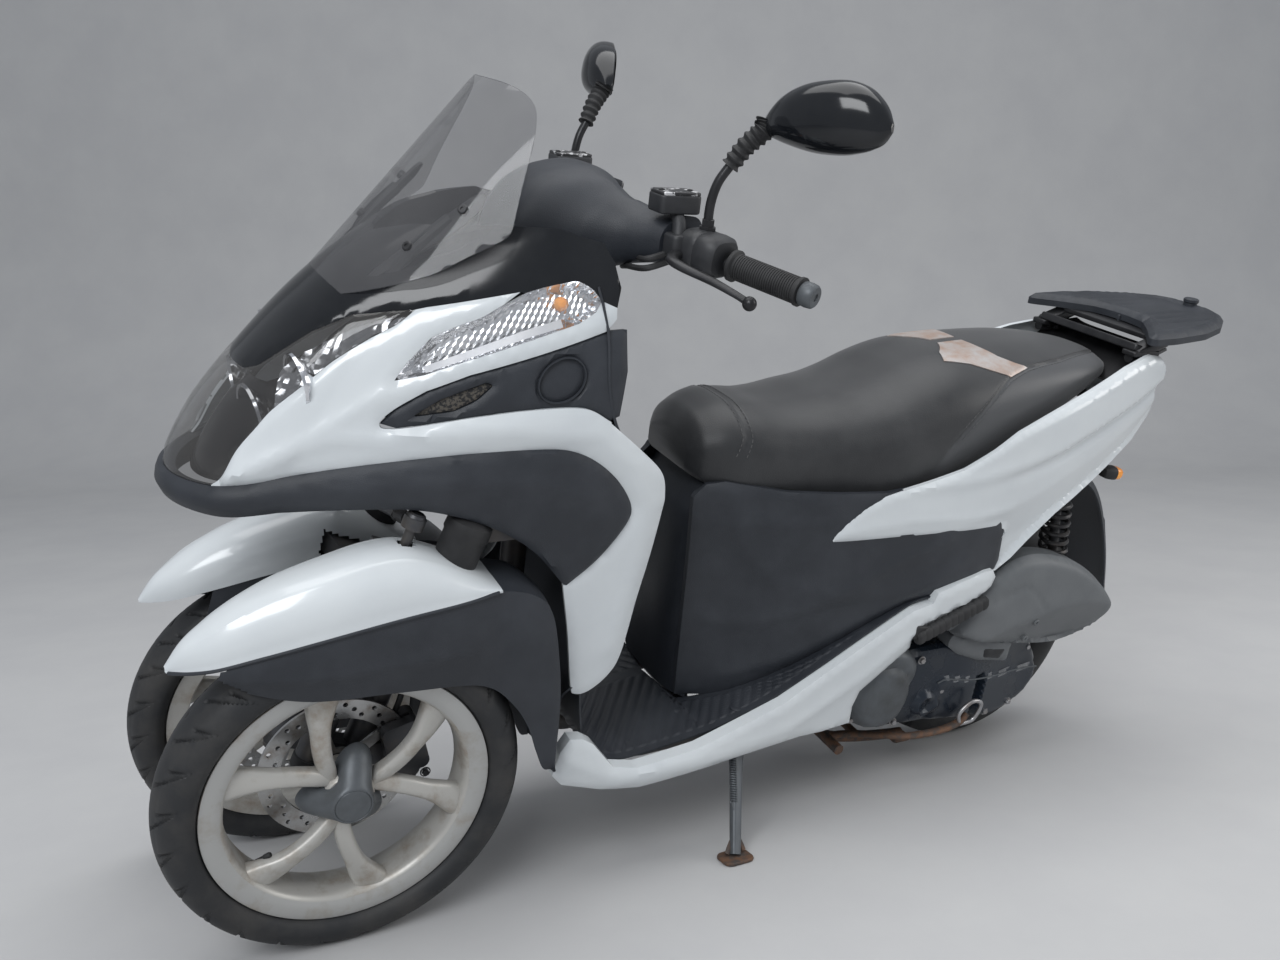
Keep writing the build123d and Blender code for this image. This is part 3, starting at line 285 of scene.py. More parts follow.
def inside(points, polygon):
    """True for the points within a closed 2D line, by counting crossings."""
    p, q = np.asarray(points, float), np.asarray(polygon, float)
    hit = np.zeros(len(p), bool)
    for (x0, y0), (x1, y1) in zip(q, np.roll(q, -1, 0)):
        if y0 == y1:
            continue
        over = (y0 > p[:, 1]) != (y1 > p[:, 1])
        hit ^= over & (p[:, 0] < (x1 - x0) * (p[:, 1] - y0) / (y1 - y0) + x0)
    return hit


def resample(line, spacing, corner=None):
    """A closed line with points every so often, its corners kept; corner rounds them first."""
    p = np.asarray(line, float)
    if corner:
        cut = []
        for k in range(len(p)):
            a, b, c = p[k - 1], p[k], p[(k + 1) % len(p)]
            la, lc = np.linalg.norm(a - b), np.linalg.norm(c - b)
            r = min(corner, 0.45 * la, 0.45 * lc)
            e0, e1 = b + (a - b) * r / la, b + (c - b) * r / lc
            for s in np.linspace(0, 1, 5):
                cut.append((1 - s) ** 2 * e0 + 2 * s * (1 - s) * b + s * s * e1)
        p = np.array(cut)
    out = []
    for a, b in zip(p, np.roll(p, -1, 0)):
        n = max(1, int(np.linalg.norm(b - a) / spacing))
        out += [a + (b - a) * s for s in np.linspace(0, 1, n, endpoint=False)]
    return np.array(out)


def distance_to(points, line, closed=True):
    """Each point's distance from a 2D line, whose last point joins its first when closed."""
    p, q, best = np.asarray(points, float), np.asarray(line, float), None
    for a, b in zip(q, np.roll(q, -1, 0)) if closed else zip(q[:-1], q[1:]):
        d = b - a
        s = np.clip(((p - a) @ d) / max(d @ d, 1e-9), 0, 1)
        r = np.linalg.norm(p - a - s[:, None] * d, axis=1)
        best = r if best is None else np.minimum(best, r)
    return best


print("helpers ready")

# %% [markdown]
# ## Finishes
# Each finish is a shader with at least one pattern measured in the object's own coordinates, so it does
# not slide as a body moves. Paint gets a faint orange peel and dust, plastic gets a moulded grain and wear,
# castings get speckle and stain. One pattern drives colour and roughness together, as dirt does; a finer one, where
# there is any, makes the bump.

# %% Finish helpers
def finish(name, colour, second, rough=0.5, metal=0.0, coat=0.0, alpha=1.0, scale=14.0, share=0.5, sharpness=0.15,
        rough_range=0.08, bump=0.0, bump_scale=900.0, kind="noise", ior=1.45, tone=None, sheen=0.0):
    """A principled shader: noise mixes colour with second and moves roughness, a finer pattern makes the bump."""
    m = bpy.data.materials.new(name)
    m.use_nodes = True
    nodes, link = m.node_tree.nodes, m.node_tree.links.new
    shader = nodes["Principled BSDF"]

    def node(kind, **values):
        n = nodes.new("ShaderNode" + kind)
        for key, value in values.items():
            n.inputs[key.replace("_", " ")].default_value = value
        return n

    def blend(share_of, low, high):
        n = nodes.new("ShaderNodeMix")
        n.data_type = "RGBA"
        link(share_of, n.inputs[0])
        for k, side in ((6, low), (7, high)):
            if isinstance(side, tuple):
                n.inputs[k].default_value = (*side, 1)
            else:
                link(side, n.inputs[k])
        return n.outputs[2]

    place = node("TexCoord").outputs["Object"]
    noise = node("TexNoise", Scale=scale, Detail=6, Roughness=0.62)
    link(place, noise.inputs["Vector"])
    ramp = node("MapRange", From_Min=share - sharpness, From_Max=share + sharpness)
    link(noise.outputs["Fac"], ramp.inputs["Value"])
    out = blend(ramp.outputs["Result"], colour, second)
    if tone is not None:
        attribute = node("Attribute")
        attribute.attribute_name = "tone"
        out = blend(attribute.outputs["Fac"], out, tone)
    link(out, shader.inputs["Base Color"])
    spread = node("MapRange", To_Min=max(0.02, rough - rough_range), To_Max=min(1, rough + rough_range))
    link(noise.outputs["Fac"], spread.inputs["Value"])
    link(spread.outputs["Result"], shader.inputs["Roughness"])
    for key, value in (("Metallic", metal), ("IOR", ior), ("Coat Weight", coat), ("Coat Roughness", 0.06),
            ("Alpha", alpha), ("Sheen Weight", sheen)):
        shader.inputs[key].default_value = value
    if bump:
        fine = node("TexVoronoi" if kind == "grain" else "TexNoise", Scale=bump_scale)
        link(place, fine.inputs["Vector"])
        rise = node("Bump", Strength=bump, Distance=0.0006)
        link(fine.outputs["Distance" if kind == "grain" else "Fac"], rise.inputs["Height"])
        link(rise.outputs["Normal"], shader.inputs["Normal"])
    return m


F = {
    "white": finish("pearl_white", (0.6, 0.63, 0.645), (0.56, 0.59, 0.61), 0.24, 0.0, 0.5, scale=7, bump=0.04,
        bump_scale=160),
    "dark": finish("moulded_black", (0.019, 0.022, 0.028), (0.034, 0.038, 0.046), 0.5, scale=9, share=0.55,
        rough_range=0.13, bump=0.35, kind="grain"),
    "gloss": finish("gloss_black", (0.006, 0.007, 0.009), (0.01, 0.011, 0.013), 0.12, scale=12, rough_range=0.05),
    "smoke": finish("smoked_screen", (0.085, 0.085, 0.09), (0.12, 0.12, 0.125), 0.06, alpha=0.52, scale=5,
        rough_range=0.03, ior=1.49),
    "lens": finish("clear_lens", (0.5, 0.5, 0.5), (0.6, 0.6, 0.6), 0.05, alpha=0.2, scale=9, rough_range=0.03,
        coat=0.4, ior=1.49),
    "smoke_lens": finish("smoked_lens", (0.06, 0.058, 0.058), (0.1, 0.095, 0.09), 0.06, alpha=0.5, scale=6,
        rough_range=0.03, coat=0.5, ior=1.49),
    "mirror": finish("bright_reflector", (0.8, 0.81, 0.83), (0.62, 0.63, 0.66), 0.14, 1.0, scale=60, rough_range=0.08,
        bump=0.25, kind="grain", bump_scale=90),
    "amber": finish("amber_bulb", (0.85, 0.26, 0.02), (0.95, 0.4, 0.05), 0.15, scale=40, coat=0.3),
    "satin": finish("satin_silver", (0.6, 0.61, 0.63), (0.48, 0.49, 0.52), 0.32, 0.9, scale=30),
    "red": finish("red_lens", (0.42, 0.012, 0.012), (0.55, 0.03, 0.02), 0.16, scale=30, coat=0.5, kind="grain",
        bump=0.3, bump_scale=200),
    "frame": finish("frame_black", (0.03, 0.03, 0.033), (0.075, 0.062, 0.052), 0.46, scale=11, share=0.62, bump=0.06,
        bump_scale=300),
    "alloy": finish("cast_alloy", (0.26, 0.26, 0.27), (0.13, 0.12, 0.11), 0.5, 0.75, scale=16, share=0.56, bump=0.22,
        bump_scale=520, rough_range=0.12),
    "crank": finish("cast_cover_grey", (0.105, 0.115, 0.125), (0.065, 0.068, 0.07), 0.46, 0.35, scale=14, share=0.58,
        bump=0.2, bump_scale=520),
    "drive": finish("drive_paint", (0.014, 0.02, 0.03), (0.04, 0.044, 0.05), 0.27, 0.2, scale=15, share=0.64,
        bump=0.16, bump_scale=460, rough_range=0.12),
    "grey": finish("grey_plastic", (0.098, 0.106, 0.112), (0.13, 0.137, 0.143), 0.48, scale=9, bump=0.28,
        kind="grain", bump_scale=850),
    "pipe": finish("exhaust_black", (0.028, 0.027, 0.027), (0.1, 0.065, 0.045), 0.52, 0.4, scale=17, share=0.63,
        bump=0.12, bump_scale=300),
    "steel": finish("plain_steel", (0.4, 0.4, 0.41), (0.22, 0.19, 0.17), 0.36, 0.9, scale=24, share=0.6,
        rough_range=0.12),
    "rust": finish("rusty_steel", (0.155, 0.085, 0.052), (0.075, 0.062, 0.056), 0.72, 0.35, scale=70, share=0.5,
        sharpness=0.1, bump=0.5, bump_scale=420),
    "spring": finish("spring_black", (0.02, 0.02, 0.022), (0.06, 0.052, 0.046), 0.36, 0.3, scale=40, share=0.6),
    "bar": finish("bar_black", (0.018, 0.018, 0.02), (0.035, 0.035, 0.037), 0.34, 0.4, scale=20),
    "control": finish("control_black", (0.018, 0.019, 0.021), (0.032, 0.033, 0.036), 0.46, scale=20, bump=0.2,
        kind="grain", bump_scale=1000),
    "rubber": finish("grip_rubber", (0.014, 0.014, 0.015), (0.026, 0.026, 0.027), 0.62, scale=30, bump=0.15),
    "fork": finish("fork_grey", (0.06, 0.061, 0.066), (0.105, 0.092, 0.078), 0.42, 0.5, scale=22, share=0.62,
        bump=0.08, bump_scale=300),
    "wheel": finish("cast_wheel", (0.44, 0.43, 0.405), (0.235, 0.18, 0.125), 0.42, 0.35, scale=16, share=0.62,
        sharpness=0.13, bump=0.1, bump_scale=420, rough_range=0.12),
    "lip": finish("machined_lip", (0.42, 0.42, 0.41), (0.31, 0.27, 0.22), 0.36, 0.45, scale=21, share=0.66,
        rough_range=0.12, bump=0.05, bump_scale=300),
    "disc": finish("brake_disc", (0.42, 0.42, 0.42), (0.2, 0.155, 0.12), 0.3, 0.95, scale=40, share=0.64,
        rough_range=0.1),
    "tyre": finish("tyre_rubber", (0.017, 0.018, 0.02), (0.045, 0.043, 0.041), 0.6, scale=13, share=0.6,
        sharpness=0.16, bump=0.25, bump_scale=620, rough_range=0.1),
    "vinyl": finish("seat_vinyl", (0.017, 0.018, 0.02), (0.03, 0.031, 0.033), 0.42, scale=12, bump=0.3, kind="grain",
        bump_scale=620, tone=(0.052, 0.054, 0.058), sheen=0.15),
    "bronze": finish("worn_strip", (0.4, 0.29, 0.235), (0.46, 0.44, 0.43), 0.4, 0.35, scale=34, share=0.5, bump=0.1,
        bump_scale=400),
    "thread": finish("thread", (0.075, 0.075, 0.078), (0.11, 0.11, 0.11), 0.75, scale=90),
    "mirror_glass": finish("mirror_glass", (0.72, 0.75, 0.78), (0.66, 0.69, 0.72), 0.04, 1.0, scale=20,
        rough_range=0.02),
    "mesh": finish("vent_mesh", (0.01, 0.01, 0.011), (0.085, 0.075, 0.062), 0.5, scale=260, share=0.5, sharpness=0.05,
        kind="grain", bump=0.6, bump_scale=420),
    "lid": finish("chipped_lid", (0.03, 0.03, 0.032), (0.52, 0.52, 0.53), 0.4, 0.3, scale=95, share=0.56,
        sharpness=0.02),
}
CAD = {
    "dark": "floor_board leg_shield lower_trim side_inserts seat_base bucket rear_mudguard top_plate "
        "handlebar_cover fender_skirt_left fender_skirt_right",
    "white": "front_cowl side_skirts rear_covers fender_left fender_right",
    "frame": "frame swing_arm posts cross_arms side_stand", "smoke_lens": "nose_lens", "mirror": "headlamps",
    "lens": "turn_lamps", "gloss": "upper_cowl mirrors", "smoke": "windscreen", "red": "rear_lamps",
    "bar": "rack handlebar", "alloy": "engine", "drive": "drive_case", "grey": "airbox", "pipe": "exhaust",
    "spring": "rear_shocks", "control": "ignition controls", "rubber": "pegs grips", "vinyl": "seat",
    "rust": "centre_stand", "fork": "tie_rod fork_left fork_right", "tyre": "tyre_rear tyre_left tyre_right",
    "wheel": "rim_rear rim_left rim_right", "disc": "disc_rear disc_left disc_right",
}
for key, nodes in CAD.items():
    for node in nodes.split():
        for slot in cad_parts[node].material_slots:
            slot.link, slot.material = "DATA", F[key]
print(len(F), "finishes on", sum(len(nodes.split()) for nodes in CAD.values()), "CAD nodes")

# %% [markdown]
# ## The front body
# The nose, its dark trims and its lamps share one curved skin. A point on it is named by its height and by how
# far round it lies from the nose, so a panel that wraps the nose is still one flat outline to cut and fill.
# The plan section at each height is two arcs: a tight one round the nose, a long one down the side.

# %% The front skin
BACK, ROUND = -420.0, 620.0
NOSE_ROWS = ((370, 60, 206), (535, 131, 219), (700, 200, 232), (780, 168, 237), (880, 94, 236), (970, 8, 222),
    (1062, -112, 188))


def arc(p0, p1, p2, s):
    """A point a share s along the circle through three points (arrays of 2D points)."""
    a, b = p1 - p0, p2 - p0
    cross = 2 * (a[:, 0] * b[:, 1] - a[:, 1] * b[:, 0])
    la, lb = (a * a).sum(1), (b * b).sum(1)
    c = cols((b[:, 1] * la - a[:, 1] * lb) / cross, (a[:, 0] * lb - b[:, 0] * la) / cross)
    start = np.arctan2(-c[:, 1], -c[:, 0])
    end = np.arctan2(b[:, 1] - c[:, 1], b[:, 0] - c[:, 0])
    turn = (end - start + np.pi) % (2 * np.pi) - np.pi
    angle = start + turn * s
    return p0 + c + np.hypot(c[:, 0], c[:, 1])[:, None] * cols(np.cos(angle), np.sin(angle))


def front_point(a, z):
    """The skin: t = |a| / 620 runs from the nose (0) to the back edge (1) at height z."""
    a, z = np.atleast_1d(a).astype(float), np.atleast_1d(z).astype(float)
    t = np.abs(a) / ROUND
    nose, half = rows(NOSE_ROWS, z, 1), rows(NOSE_ROWS, z, 2)
    run = nose - BACK
    tip = cols(nose, 0 * nose)
    shoulder = cols(BACK + 0.8 * run, 0.6 * half)
    other = shoulder * (1, -1)
    side = cols(BACK + 0.4 * run, 0.917 * half)
    rear = cols(BACK + 0 * run, half)
    near = arc(tip, cols(*arc(other, tip, shoulder, 0.75).T), shoulder, np.clip(t / 0.33, 0, 1))
    far = arc(shoulder, side, rear, np.clip((t - 0.33) / 0.67, 0, 1))
    p = np.where((t < 0.33)[:, None], near, far)
    p[:, 0] -= np.clip(t - 1, 0, None) * ROUND
    return cols(p[:, 0], p[:, 1] * np.sign(a + 1e-12), z)


def front_skin(a, z):
    """Points and outward normals."""
    p = front_point(a, z)
    e = 1.5
    da = front_point(a + e, z) - front_point(a - e, z)
    dz = front_point(a, z + e) - front_point(a, z - e)
    n = np.cross(da, dz)
    n /= np.linalg.norm(n, axis=1)[:, None] + 1e-12
    return p, n * np.sign((n * (p - (-150, 0, 700)) * (1, 1, 0)).sum(1))[:, None]


def on_skin(line, height):
    """Points of the skin at (a, z) pairs, raised square to it."""
    p, n = front_skin(*np.transpose(line))
    return p + n * height


def round_of(line, side=1):
    """Side-view (x, z) points as (a, z) on the skin, by halving: x falls steadily as a grows."""
    q = np.asarray(line, float)
    lo, hi = np.zeros(len(q)), np.full(len(q), 1.15 * ROUND)
    for _ in range(40):
        mid = (lo + hi) / 2
        ahead = front_point(mid, q[:, 1])[:, 0] > q[:, 0]
        lo, hi = np.where(ahead, mid, lo), np.where(ahead, hi, mid)
    out = cols(lo, q[:, 1])
    return out * (side, 1)


def whole_nose(half_line, bottom, top):
    """A left half outline and its mirror image, closed across the nose at two heights."""
    left = round_of(half_line)
    return np.vstack([[(0, bottom)], left, [(0, top)], (left * (-1, 1))[::-1]])


def ridge(lines, height, width):
    """A relief that follows lines: height falls off with distance as exp(-d / width)."""
    return lambda a, b: sum(height * np.exp(-distance_to(cols(a, b), q, False) / width) for q in lines)


def crease(line, height, width):
    """A ridge along a side-view line of the front skin, on both sides."""
    return ridge([round_of(line, s) for s in (1, -1)], height, width)


LENS_EDGE = ((150, 729), (138, 742), (120, 776), (97, 806), (78, 829), (41, 862), (6, 893), (-35, 921), (-69, 942),
    (-90, 960))
CAP_EDGE = ((-103, 964), (-137, 972), (-174, 981), (-212, 990))
TRIM_EDGE = ((150, 728), (108, 737), (5, 763), (-96, 781), (-175, 790), (-253, 793), (-290, 786), (-324, 767),
    (-355, 737), (-376, 701), (-371, 672), (-337, 624), (-295, 585))
LAMP_BACK = ((-313, 984), (-333, 976), (-332, 962))
ARCH_EDGE = ((-289, 588), (-244, 641), (-193, 677), (-135, 700), (-73, 710), (15, 706), (91, 697), (138, 690),
    (178, 690))
LEG_EDGE = ((-331, 826), (-382, 783), (-417, 748), (-427, 713), (-426, 687), (-418, 615), (-408, 549), (-396, 456),
    (-380, 420), (-352, 396), (-330, 394), (-322, 412), (-306, 507), (-290, 585))
INSERT_TOP = ((-340, 962), (-318, 947), (-226, 914), (-147, 888), (-96, 866), (-58, 841), (-41, 822))
INSERT_LOW = ((-60, 817), (-158, 836), (-229, 846), (-293, 847), (-331, 828))
TURN_TOP = ((-60, 876), (-76, 899), (-104, 929), (-130, 943), (-165, 958), (-192, 975), (-217, 989), (-241, 997),
    (-261, 1002), (-284, 1007))
TURN_LOW = ((-302, 998), (-313, 984), (-304, 970), (-282, 956), (-249, 944), (-201, 926), (-139, 903), (-94, 885))
TURN = TURN_TOP + TURN_LOW
print("nose skin spans", np.round(front_point([0, ROUND], [720, 720]), 0).tolist())

# %% [markdown]
# ## White cowl and leg panels
# The white panel is one moulding from the lamp to the rider's foot. It forks round the dark insert, and passes
# round the turn lamp. Creases are ridges laid along lines measured from the picture.

# %% White cowls, dark inserts and lower trim
def fill(outline, pitch, holes=()):
    """Points and triangles inside a closed line: its own points and the holes' ones, then a grid between them."""
    lo, hi = outline.min(0), outline.max(0)
    gx, gy = np.meshgrid(np.arange(lo[0] + pitch / 2, hi[0], pitch), np.arange(lo[1] + pitch / 2, hi[1], pitch))
    gx[1::2] += pitch / 2
    g = cols(gx.ravel(), gy.ravel())
    keep = inside(g, outline) & (distance_to(g, outline) > 0.45 * pitch)
    for h in holes:
        keep &= ~inside(g, h) & (distance_to(g, h) > 0.45 * pitch)
    g = g[keep]
    pts, edges = [], []
    for line in [outline, *holes]:
        n, m = len(pts), len(line)
        pts += [Vector(q) for q in line]
        edges += [(n + k, n + (k + 1) % m) for k in range(m)]
    pts += [Vector(q) for q in g]
    v, _, f, *_ = delaunay_2d_cdt(pts, edges, [], 1, 1e-5)
    v = np.array([tuple(q) for q in v])
    middle = np.array([v[list(t)].mean(0) for t in f])
    good = inside(middle, outline)
    for h in holes:
        good &= ~inside(middle, h)
    return v, [list(t) for t, ok in zip(f, good) if ok]


def skin_panel(parts, outline, surface=front_skin, holes=(), thick=4.0, edge=4.0, pitch=9.0, crown=0.0, lift=0.0,
        corner=None, relief=None, trim=0.7):
    """A panel with round-edged rims on the skin, its holes rimmed the same way."""
    line = resample(outline, pitch * 0.8, corner)
    inner = [resample(h, pitch * 0.7, 6) for h in holes]
    v, f = fill(line, pitch, inner)
    d = distance_to(v, line)
    for h in inner:
        d = np.minimum(d, distance_to(v, h))
    s = np.clip(1 - d / edge, 0, 1)
    height = lift - edge * trim * (1 - np.sqrt(np.clip(1 - s * s, 0, 1))) + crown * (1 - np.exp(-d / 45.0))
    if relief is not None:
        height = height + relief(v[:, 0], v[:, 1]) * step(d, 0, 10)
    p, n = surface(v[:, 0], v[:, 1])
    top = p + n * height[:, None]
    parts.add(top, facing(top, f, n[[q[0] for q in f]]))
    for ring in [line, *inner]:
        pr, nr = surface(ring[:, 0], ring[:, 1])
        low, base = lift - edge * trim, lift - edge * trim - thick
        parts.table(np.stack([pr + nr * low, pr + nr * base]), close_m=True)
    return parts


white_relief = [crease(((150, 733), (108, 757), (75, 776), (30, 805), (-11, 832), (-44, 856)), 5.0, 13),
    crease(((124, 742), (13, 800), (-99, 812), (-200, 820), (-315, 812), (-372, 762), (-398, 700), (-392, 600),
    (-372, 470)), 6.0, 14)]


def white_shape(a, z):
    return sum(r(a, z) for r in white_relief)


cowls, inserts, turns = Parts(), Parts(), Parts()
for side in (1, -1):
    around_lamp = CAP_EDGE + TURN_TOP[5::-1] + TURN_LOW[:1:-1] + LAMP_BACK + INSERT_TOP[1:-2]
    outline = round_of(np.vstack([smooth_path(LENS_EDGE, 48), around_lamp,
        smooth_path(INSERT_TOP[-3:] + INSERT_LOW, 60)[4:], smooth_path(LEG_EDGE, 90),
        smooth_path(TRIM_EDGE, 90)[::-1]]), side)
    skin_panel(cowls, outline, relief=white_shape, edge=3.2, crown=1.5, thick=6)
    vent = round_of(((-78, 832), (-112, 856), (-168, 880), (-176, 876), (-156, 856), (-128, 841)), side)
    turn = circle(40)
    middle = round_of(((-262, 884),), side)[0]
    disc = middle + 31 * cols(np.cos(turn), np.sin(turn))
    back = ((-348, 949), (-351, 895), (-344, 834))
    outline = round_of(INSERT_TOP[1:] + INSERT_LOW + back[::-1], side)
    skin_panel(inserts, outline, holes=[vent, disc], lift=-4, edge=5, crown=3.0, thick=14, pitch=7)
    skin_panel(inserts, vent, lift=-13, edge=1, pitch=7, thick=2)
    skin_panel(inserts, middle + (disc - middle) * 0.99, lift=-9, edge=3, pitch=6, thick=3, crown=1.5)
    inserts.table([on_skin(middle + (disc - middle) * k, h) for k, h in ((1.0, -6), (0.965, -2.8), (0.93, -2.8),
        (0.9, -6))], close_m=True)
cowls.make("cowl_panels", "white", "white_paint", "front_cowl")
inserts.make("side_insert_panels", "dark", "black_plastic", "side_inserts")

vents = Parts()
for side in (1, -1):
    vent = round_of(((-80, 833), (-112, 855), (-167, 878), (-174, 875), (-155, 857), (-128, 842)), side)
    skin_panel(vents, vent, lift=-11.5, edge=0.5, pitch=6, thick=1)
vents.make("vent_meshes", "mesh", "black_plastic")

trim = Parts()
half = round_of(np.vstack([smooth_path(TRIM_EDGE, 90), smooth_path(ARCH_EDGE, 48)]))
outline = np.vstack([half, [(0, 690)], (half * (-1, 1))[::-1], [(0, 722)]])
fold = crease(((150, 706), (60, 726), (-60, 744), (-160, 752), (-250, 748), (-310, 722), (-338, 690)), 4.0, 12)
skin_panel(trim, outline, lift=3.0, edge=6, crown=7, thick=16, pitch=8, relief=fold, trim=0.8)
trim.make("lower_trim_panel", "dark", "black_plastic", "lower_trim")

# %% [markdown]
# ## Lamps and their lenses
# A lamp looks deep because the reflector lies well behind the clear lens. Each lamp here is a tray set below the
# skin, with bowls, ribs and a bulb in it, and a thin lens that closes it flush with the paint around it.

# %% Headlamp, turn lamps and the black cap
lens = Parts()
CAP_FRONT = ((-90, 960), (-71, 957), (-21, 947), (25, 921), (59, 894), (85, 872), (99, 864))
skin_panel(lens, whole_nose(LENS_EDGE + CAP_FRONT[1:], 723, 864), lift=0.5, edge=4, crown=2, thick=3, pitch=9)
lens.make("nose_lens_shell", "smoke_lens", "smoked_glass", "nose_lens")

tray, bright = Parts(), Parts()
skin_panel(tray, whole_nose(tuple((x - 3, z) for x, z in LENS_EDGE + CAP_FRONT[1:]), 726, 862), lift=-34, edge=2,
    thick=3, pitch=11)
for side in (1, -1):
    back_lamp = round_of(((78, 833), (63, 845), (43, 862), (33, 874), (6, 897), (-35, 924), (-69, 945), (-84, 955),
        (-63, 950), (-19, 935), (24, 910), (53, 890), (69, 872)), side)
    v, f = fill(resample(back_lamp, 6), 6.5)
    facet = 4.0 * np.abs(((v[:, 0] + 0.6 * v[:, 1]) / 12.0) % 2 - 1) + 2 * np.abs((v[:, 1] / 7.0) % 2 - 1)
    bright.add(on_skin(v, -(9 + facet)[:, None]), [q if side > 0 else q[::-1] for q in f])
    aim = np.array([0.97, side * 0.14, -0.16])
    for (x, y, z), r in (((96, side * 62, 800), 40), ((48, side * 104, 858), 33)):
        seat_at = np.array([x, y, z]) - 36 * aim
        cup = [(r * sin(s), 34 - 26 * cos(s)) for s in np.linspace(0.12, 1.45, 12)]
        bright.turned(cup, seat_at, seat_at + aim, 40)
        bright.turned([(r, 34), (r + 4, 35), (r + 5, 31)], seat_at, seat_at + aim, 40)
        bright.turned([(0.1, 16), (6, 15), (7, 8), (7, 0)], seat_at, seat_at + aim, 20)
tray.make("headlamp_tray", "gloss", "gloss_black", "headlamps")
bright.make("headlamp_reflectors", "mirror", "lamp_silver", sharp=12)

glass, ribs, bulbs, strips = Parts(), Parts(), Parts(), Parts()
for side in (1, -1):
    line = round_of(TURN, side)
    skin_panel(glass, line, lift=0.6, edge=3, crown=1.5, thick=2, pitch=8, corner=8)
    v, f = fill(resample(line, 4, 8), 4.5)
    d = distance_to(v, line)
    deep = 17 * step(d, 0, 10) + 1.3 * np.abs((v[:, 0] / 4.5) % 2 - 1) * step(d, 4, 12)
    ribs.add(on_skin(v, -(2.5 + deep)[:, None]), [q if side > 0 else q[::-1] for q in f])
    at = round_of(((-262, 980),), side)
    bulbs.turned([(0.1, 17), (5, 16), (8.5, 12), (9.5, 6), (8, 0)], on_skin(at, -20)[0], on_skin(at, -19)[0], 24)
    low = round_of(((-96, 888), (-148, 909), (-214, 935), (-262, 951)), side)
    wide = round_of(((-92, 895), (-145, 917), (-211, 944), (-260, 961)), side)
    strips.table([on_skin(smooth_path(low, 30), -3.2), on_skin(smooth_path(wide, 30), -9)])
glass.make("turn_lamp_lenses", "lens", "lamp_glass", "turn_lamps")
ribs.make("turn_lamp_reflectors", "mirror", "lamp_silver", sharp=15)
bulbs.make("turn_lamp_bulbs", "amber", "lamp_red")
strips.make("turn_lamp_strips", "satin", "lamp_silver")

cap = Parts()
CAP_TOP = ((-340, 1000), (-334, 1030), (-322, 1052), (-268, 1064), (-196, 1062), (-110, 1050), (-60, 1030),
    (-30, 1010))
skin_panel(cap, whole_nose(CAP_FRONT[::-1] + CAP_EDGE + TURN_TOP[6:] + TURN_LOW[:2] + LAMP_BACK[1:2] + CAP_TOP, 864,
    1000), lift=0, edge=3, thick=5, pitch=10)
cap.make("upper_cowl_cap", "gloss", "gloss_black", "upper_cowl")

# %% [markdown]
# ## Tyres
# A tyre is one line turned about the axle: a round crown, a bulged wall and a bead that meets the rim.
# The tread is cut into that line's radius, so each groove is real depth that catches light at any angle.
# Grooves slant back from near the middle and alternate left and right, sparse as on a road tyre.

# %% Tyres
def profile_arc(p0, p1, p2, n, last=True):
    """n points of the circle through three points, with or without the last."""
    s = np.linspace(0, 1, n if last else n + 1)[: n]
    e = np.ones(n)[:, None]
    return arc(e * p0, e * p1, e * p2, s)


def tyre(name, radius, width, bead, rim_half, repeats, body, node, centre, w, side):
    """r(y, angle) = section(y) - groove depth, on a table of section points by 720 steps round."""
    edge = radians(24)
    crown = np.array([TREAD * sin(edge), radius - TREAD * (1 - cos(edge))])
    wide = np.array([width / 2, bead + 0.47 * (radius - bead)])
    lip, foot = np.array([rim_half - 5.3, bead + 18]), np.array([rim_half - 7.3, bead])
    low = np.array([(wide[0] + lip[0]) / 2 + 3, (wide[1] + lip[1]) / 2 - 2.5])
    shoulder = np.array([0.87 * wide[0], 0.36 * wide[1] + 0.64 * crown[1]])
    flip = np.array([-1.0, 1.0])
    half = np.vstack([profile_arc(crown, shoulder, wide, 12, False), profile_arc(wide, low, lip, 9), foot[None]])
    top = profile_arc(crown * flip, np.array([0, radius]), crown, 23)
    line = np.vstack([(half * flip)[::-1], top[1:-1], half])
    along = run_of(line)
    along -= np.interp(0, line[:, 0], along)
    steps = 720
    turn = circle(steps)
    s, t = np.meshgrid(along, turn, indexing="ij")
    depth = np.zeros_like(s)
    pitch = 2 * np.pi / repeats
    for hand, offset in ((1, 0.0), (-1, 0.5)):
        y = s * hand
        for start, end, drift, bow, wide_mm in ((5, 56, 0.62, 0.2, 6.4), (24, 62, 0.34, 0.05, 5.0)):
            extra = 0.0 if start < 10 else 0.5
            share = np.clip((y - start) / (end - start), 0, 1)
            centre_line = (offset + extra + drift * share + bow * share * share) * pitch
            gap = (t - centre_line + pitch / 2) % pitch - pitch / 2
            d = np.abs(gap) * radius
            inside_ends = step(y, start - 2, start + 1) * (1 - step(y, end - 3, end + 1))
            taper = wide_mm * (1 - 0.45 * share)
            depth = np.maximum(depth, 4.2 * inside_ends * (1 - step(d, taper * 0.3, taper * 0.62)))
    ribs = 0.35 * (np.abs(np.abs(s) - (np.abs(s).max() - 24)) < 1.6)
    r = line[:, 1][:, None] - depth + ribs
    g = cols(r * np.cos(t), np.broadcast_to(line[:, :1], r.shape) * side, r * np.sin(t))
    g += np.array(centre)
    Parts().table(g, close_m=True).make(name, "tyre", "tyre", node, body=body, w=w, sharp=40)


FRONT = ("left", 1, HALF_TRACK), ("right", -1, -HALF_TRACK)
for name, side, w in FRONT:
    tyre("tyre_" + name + "_treaded", 250, 90, 179, 33, 24, "wheel_front_" + name, "tyre_" + name, FRONT_AXLE, w,
        side)
tyre("tyre_rear_treaded", 251, 110, 153, 38, 22, "wheel_rear", "tyre_rear", REAR_AXLE, 0, 1)

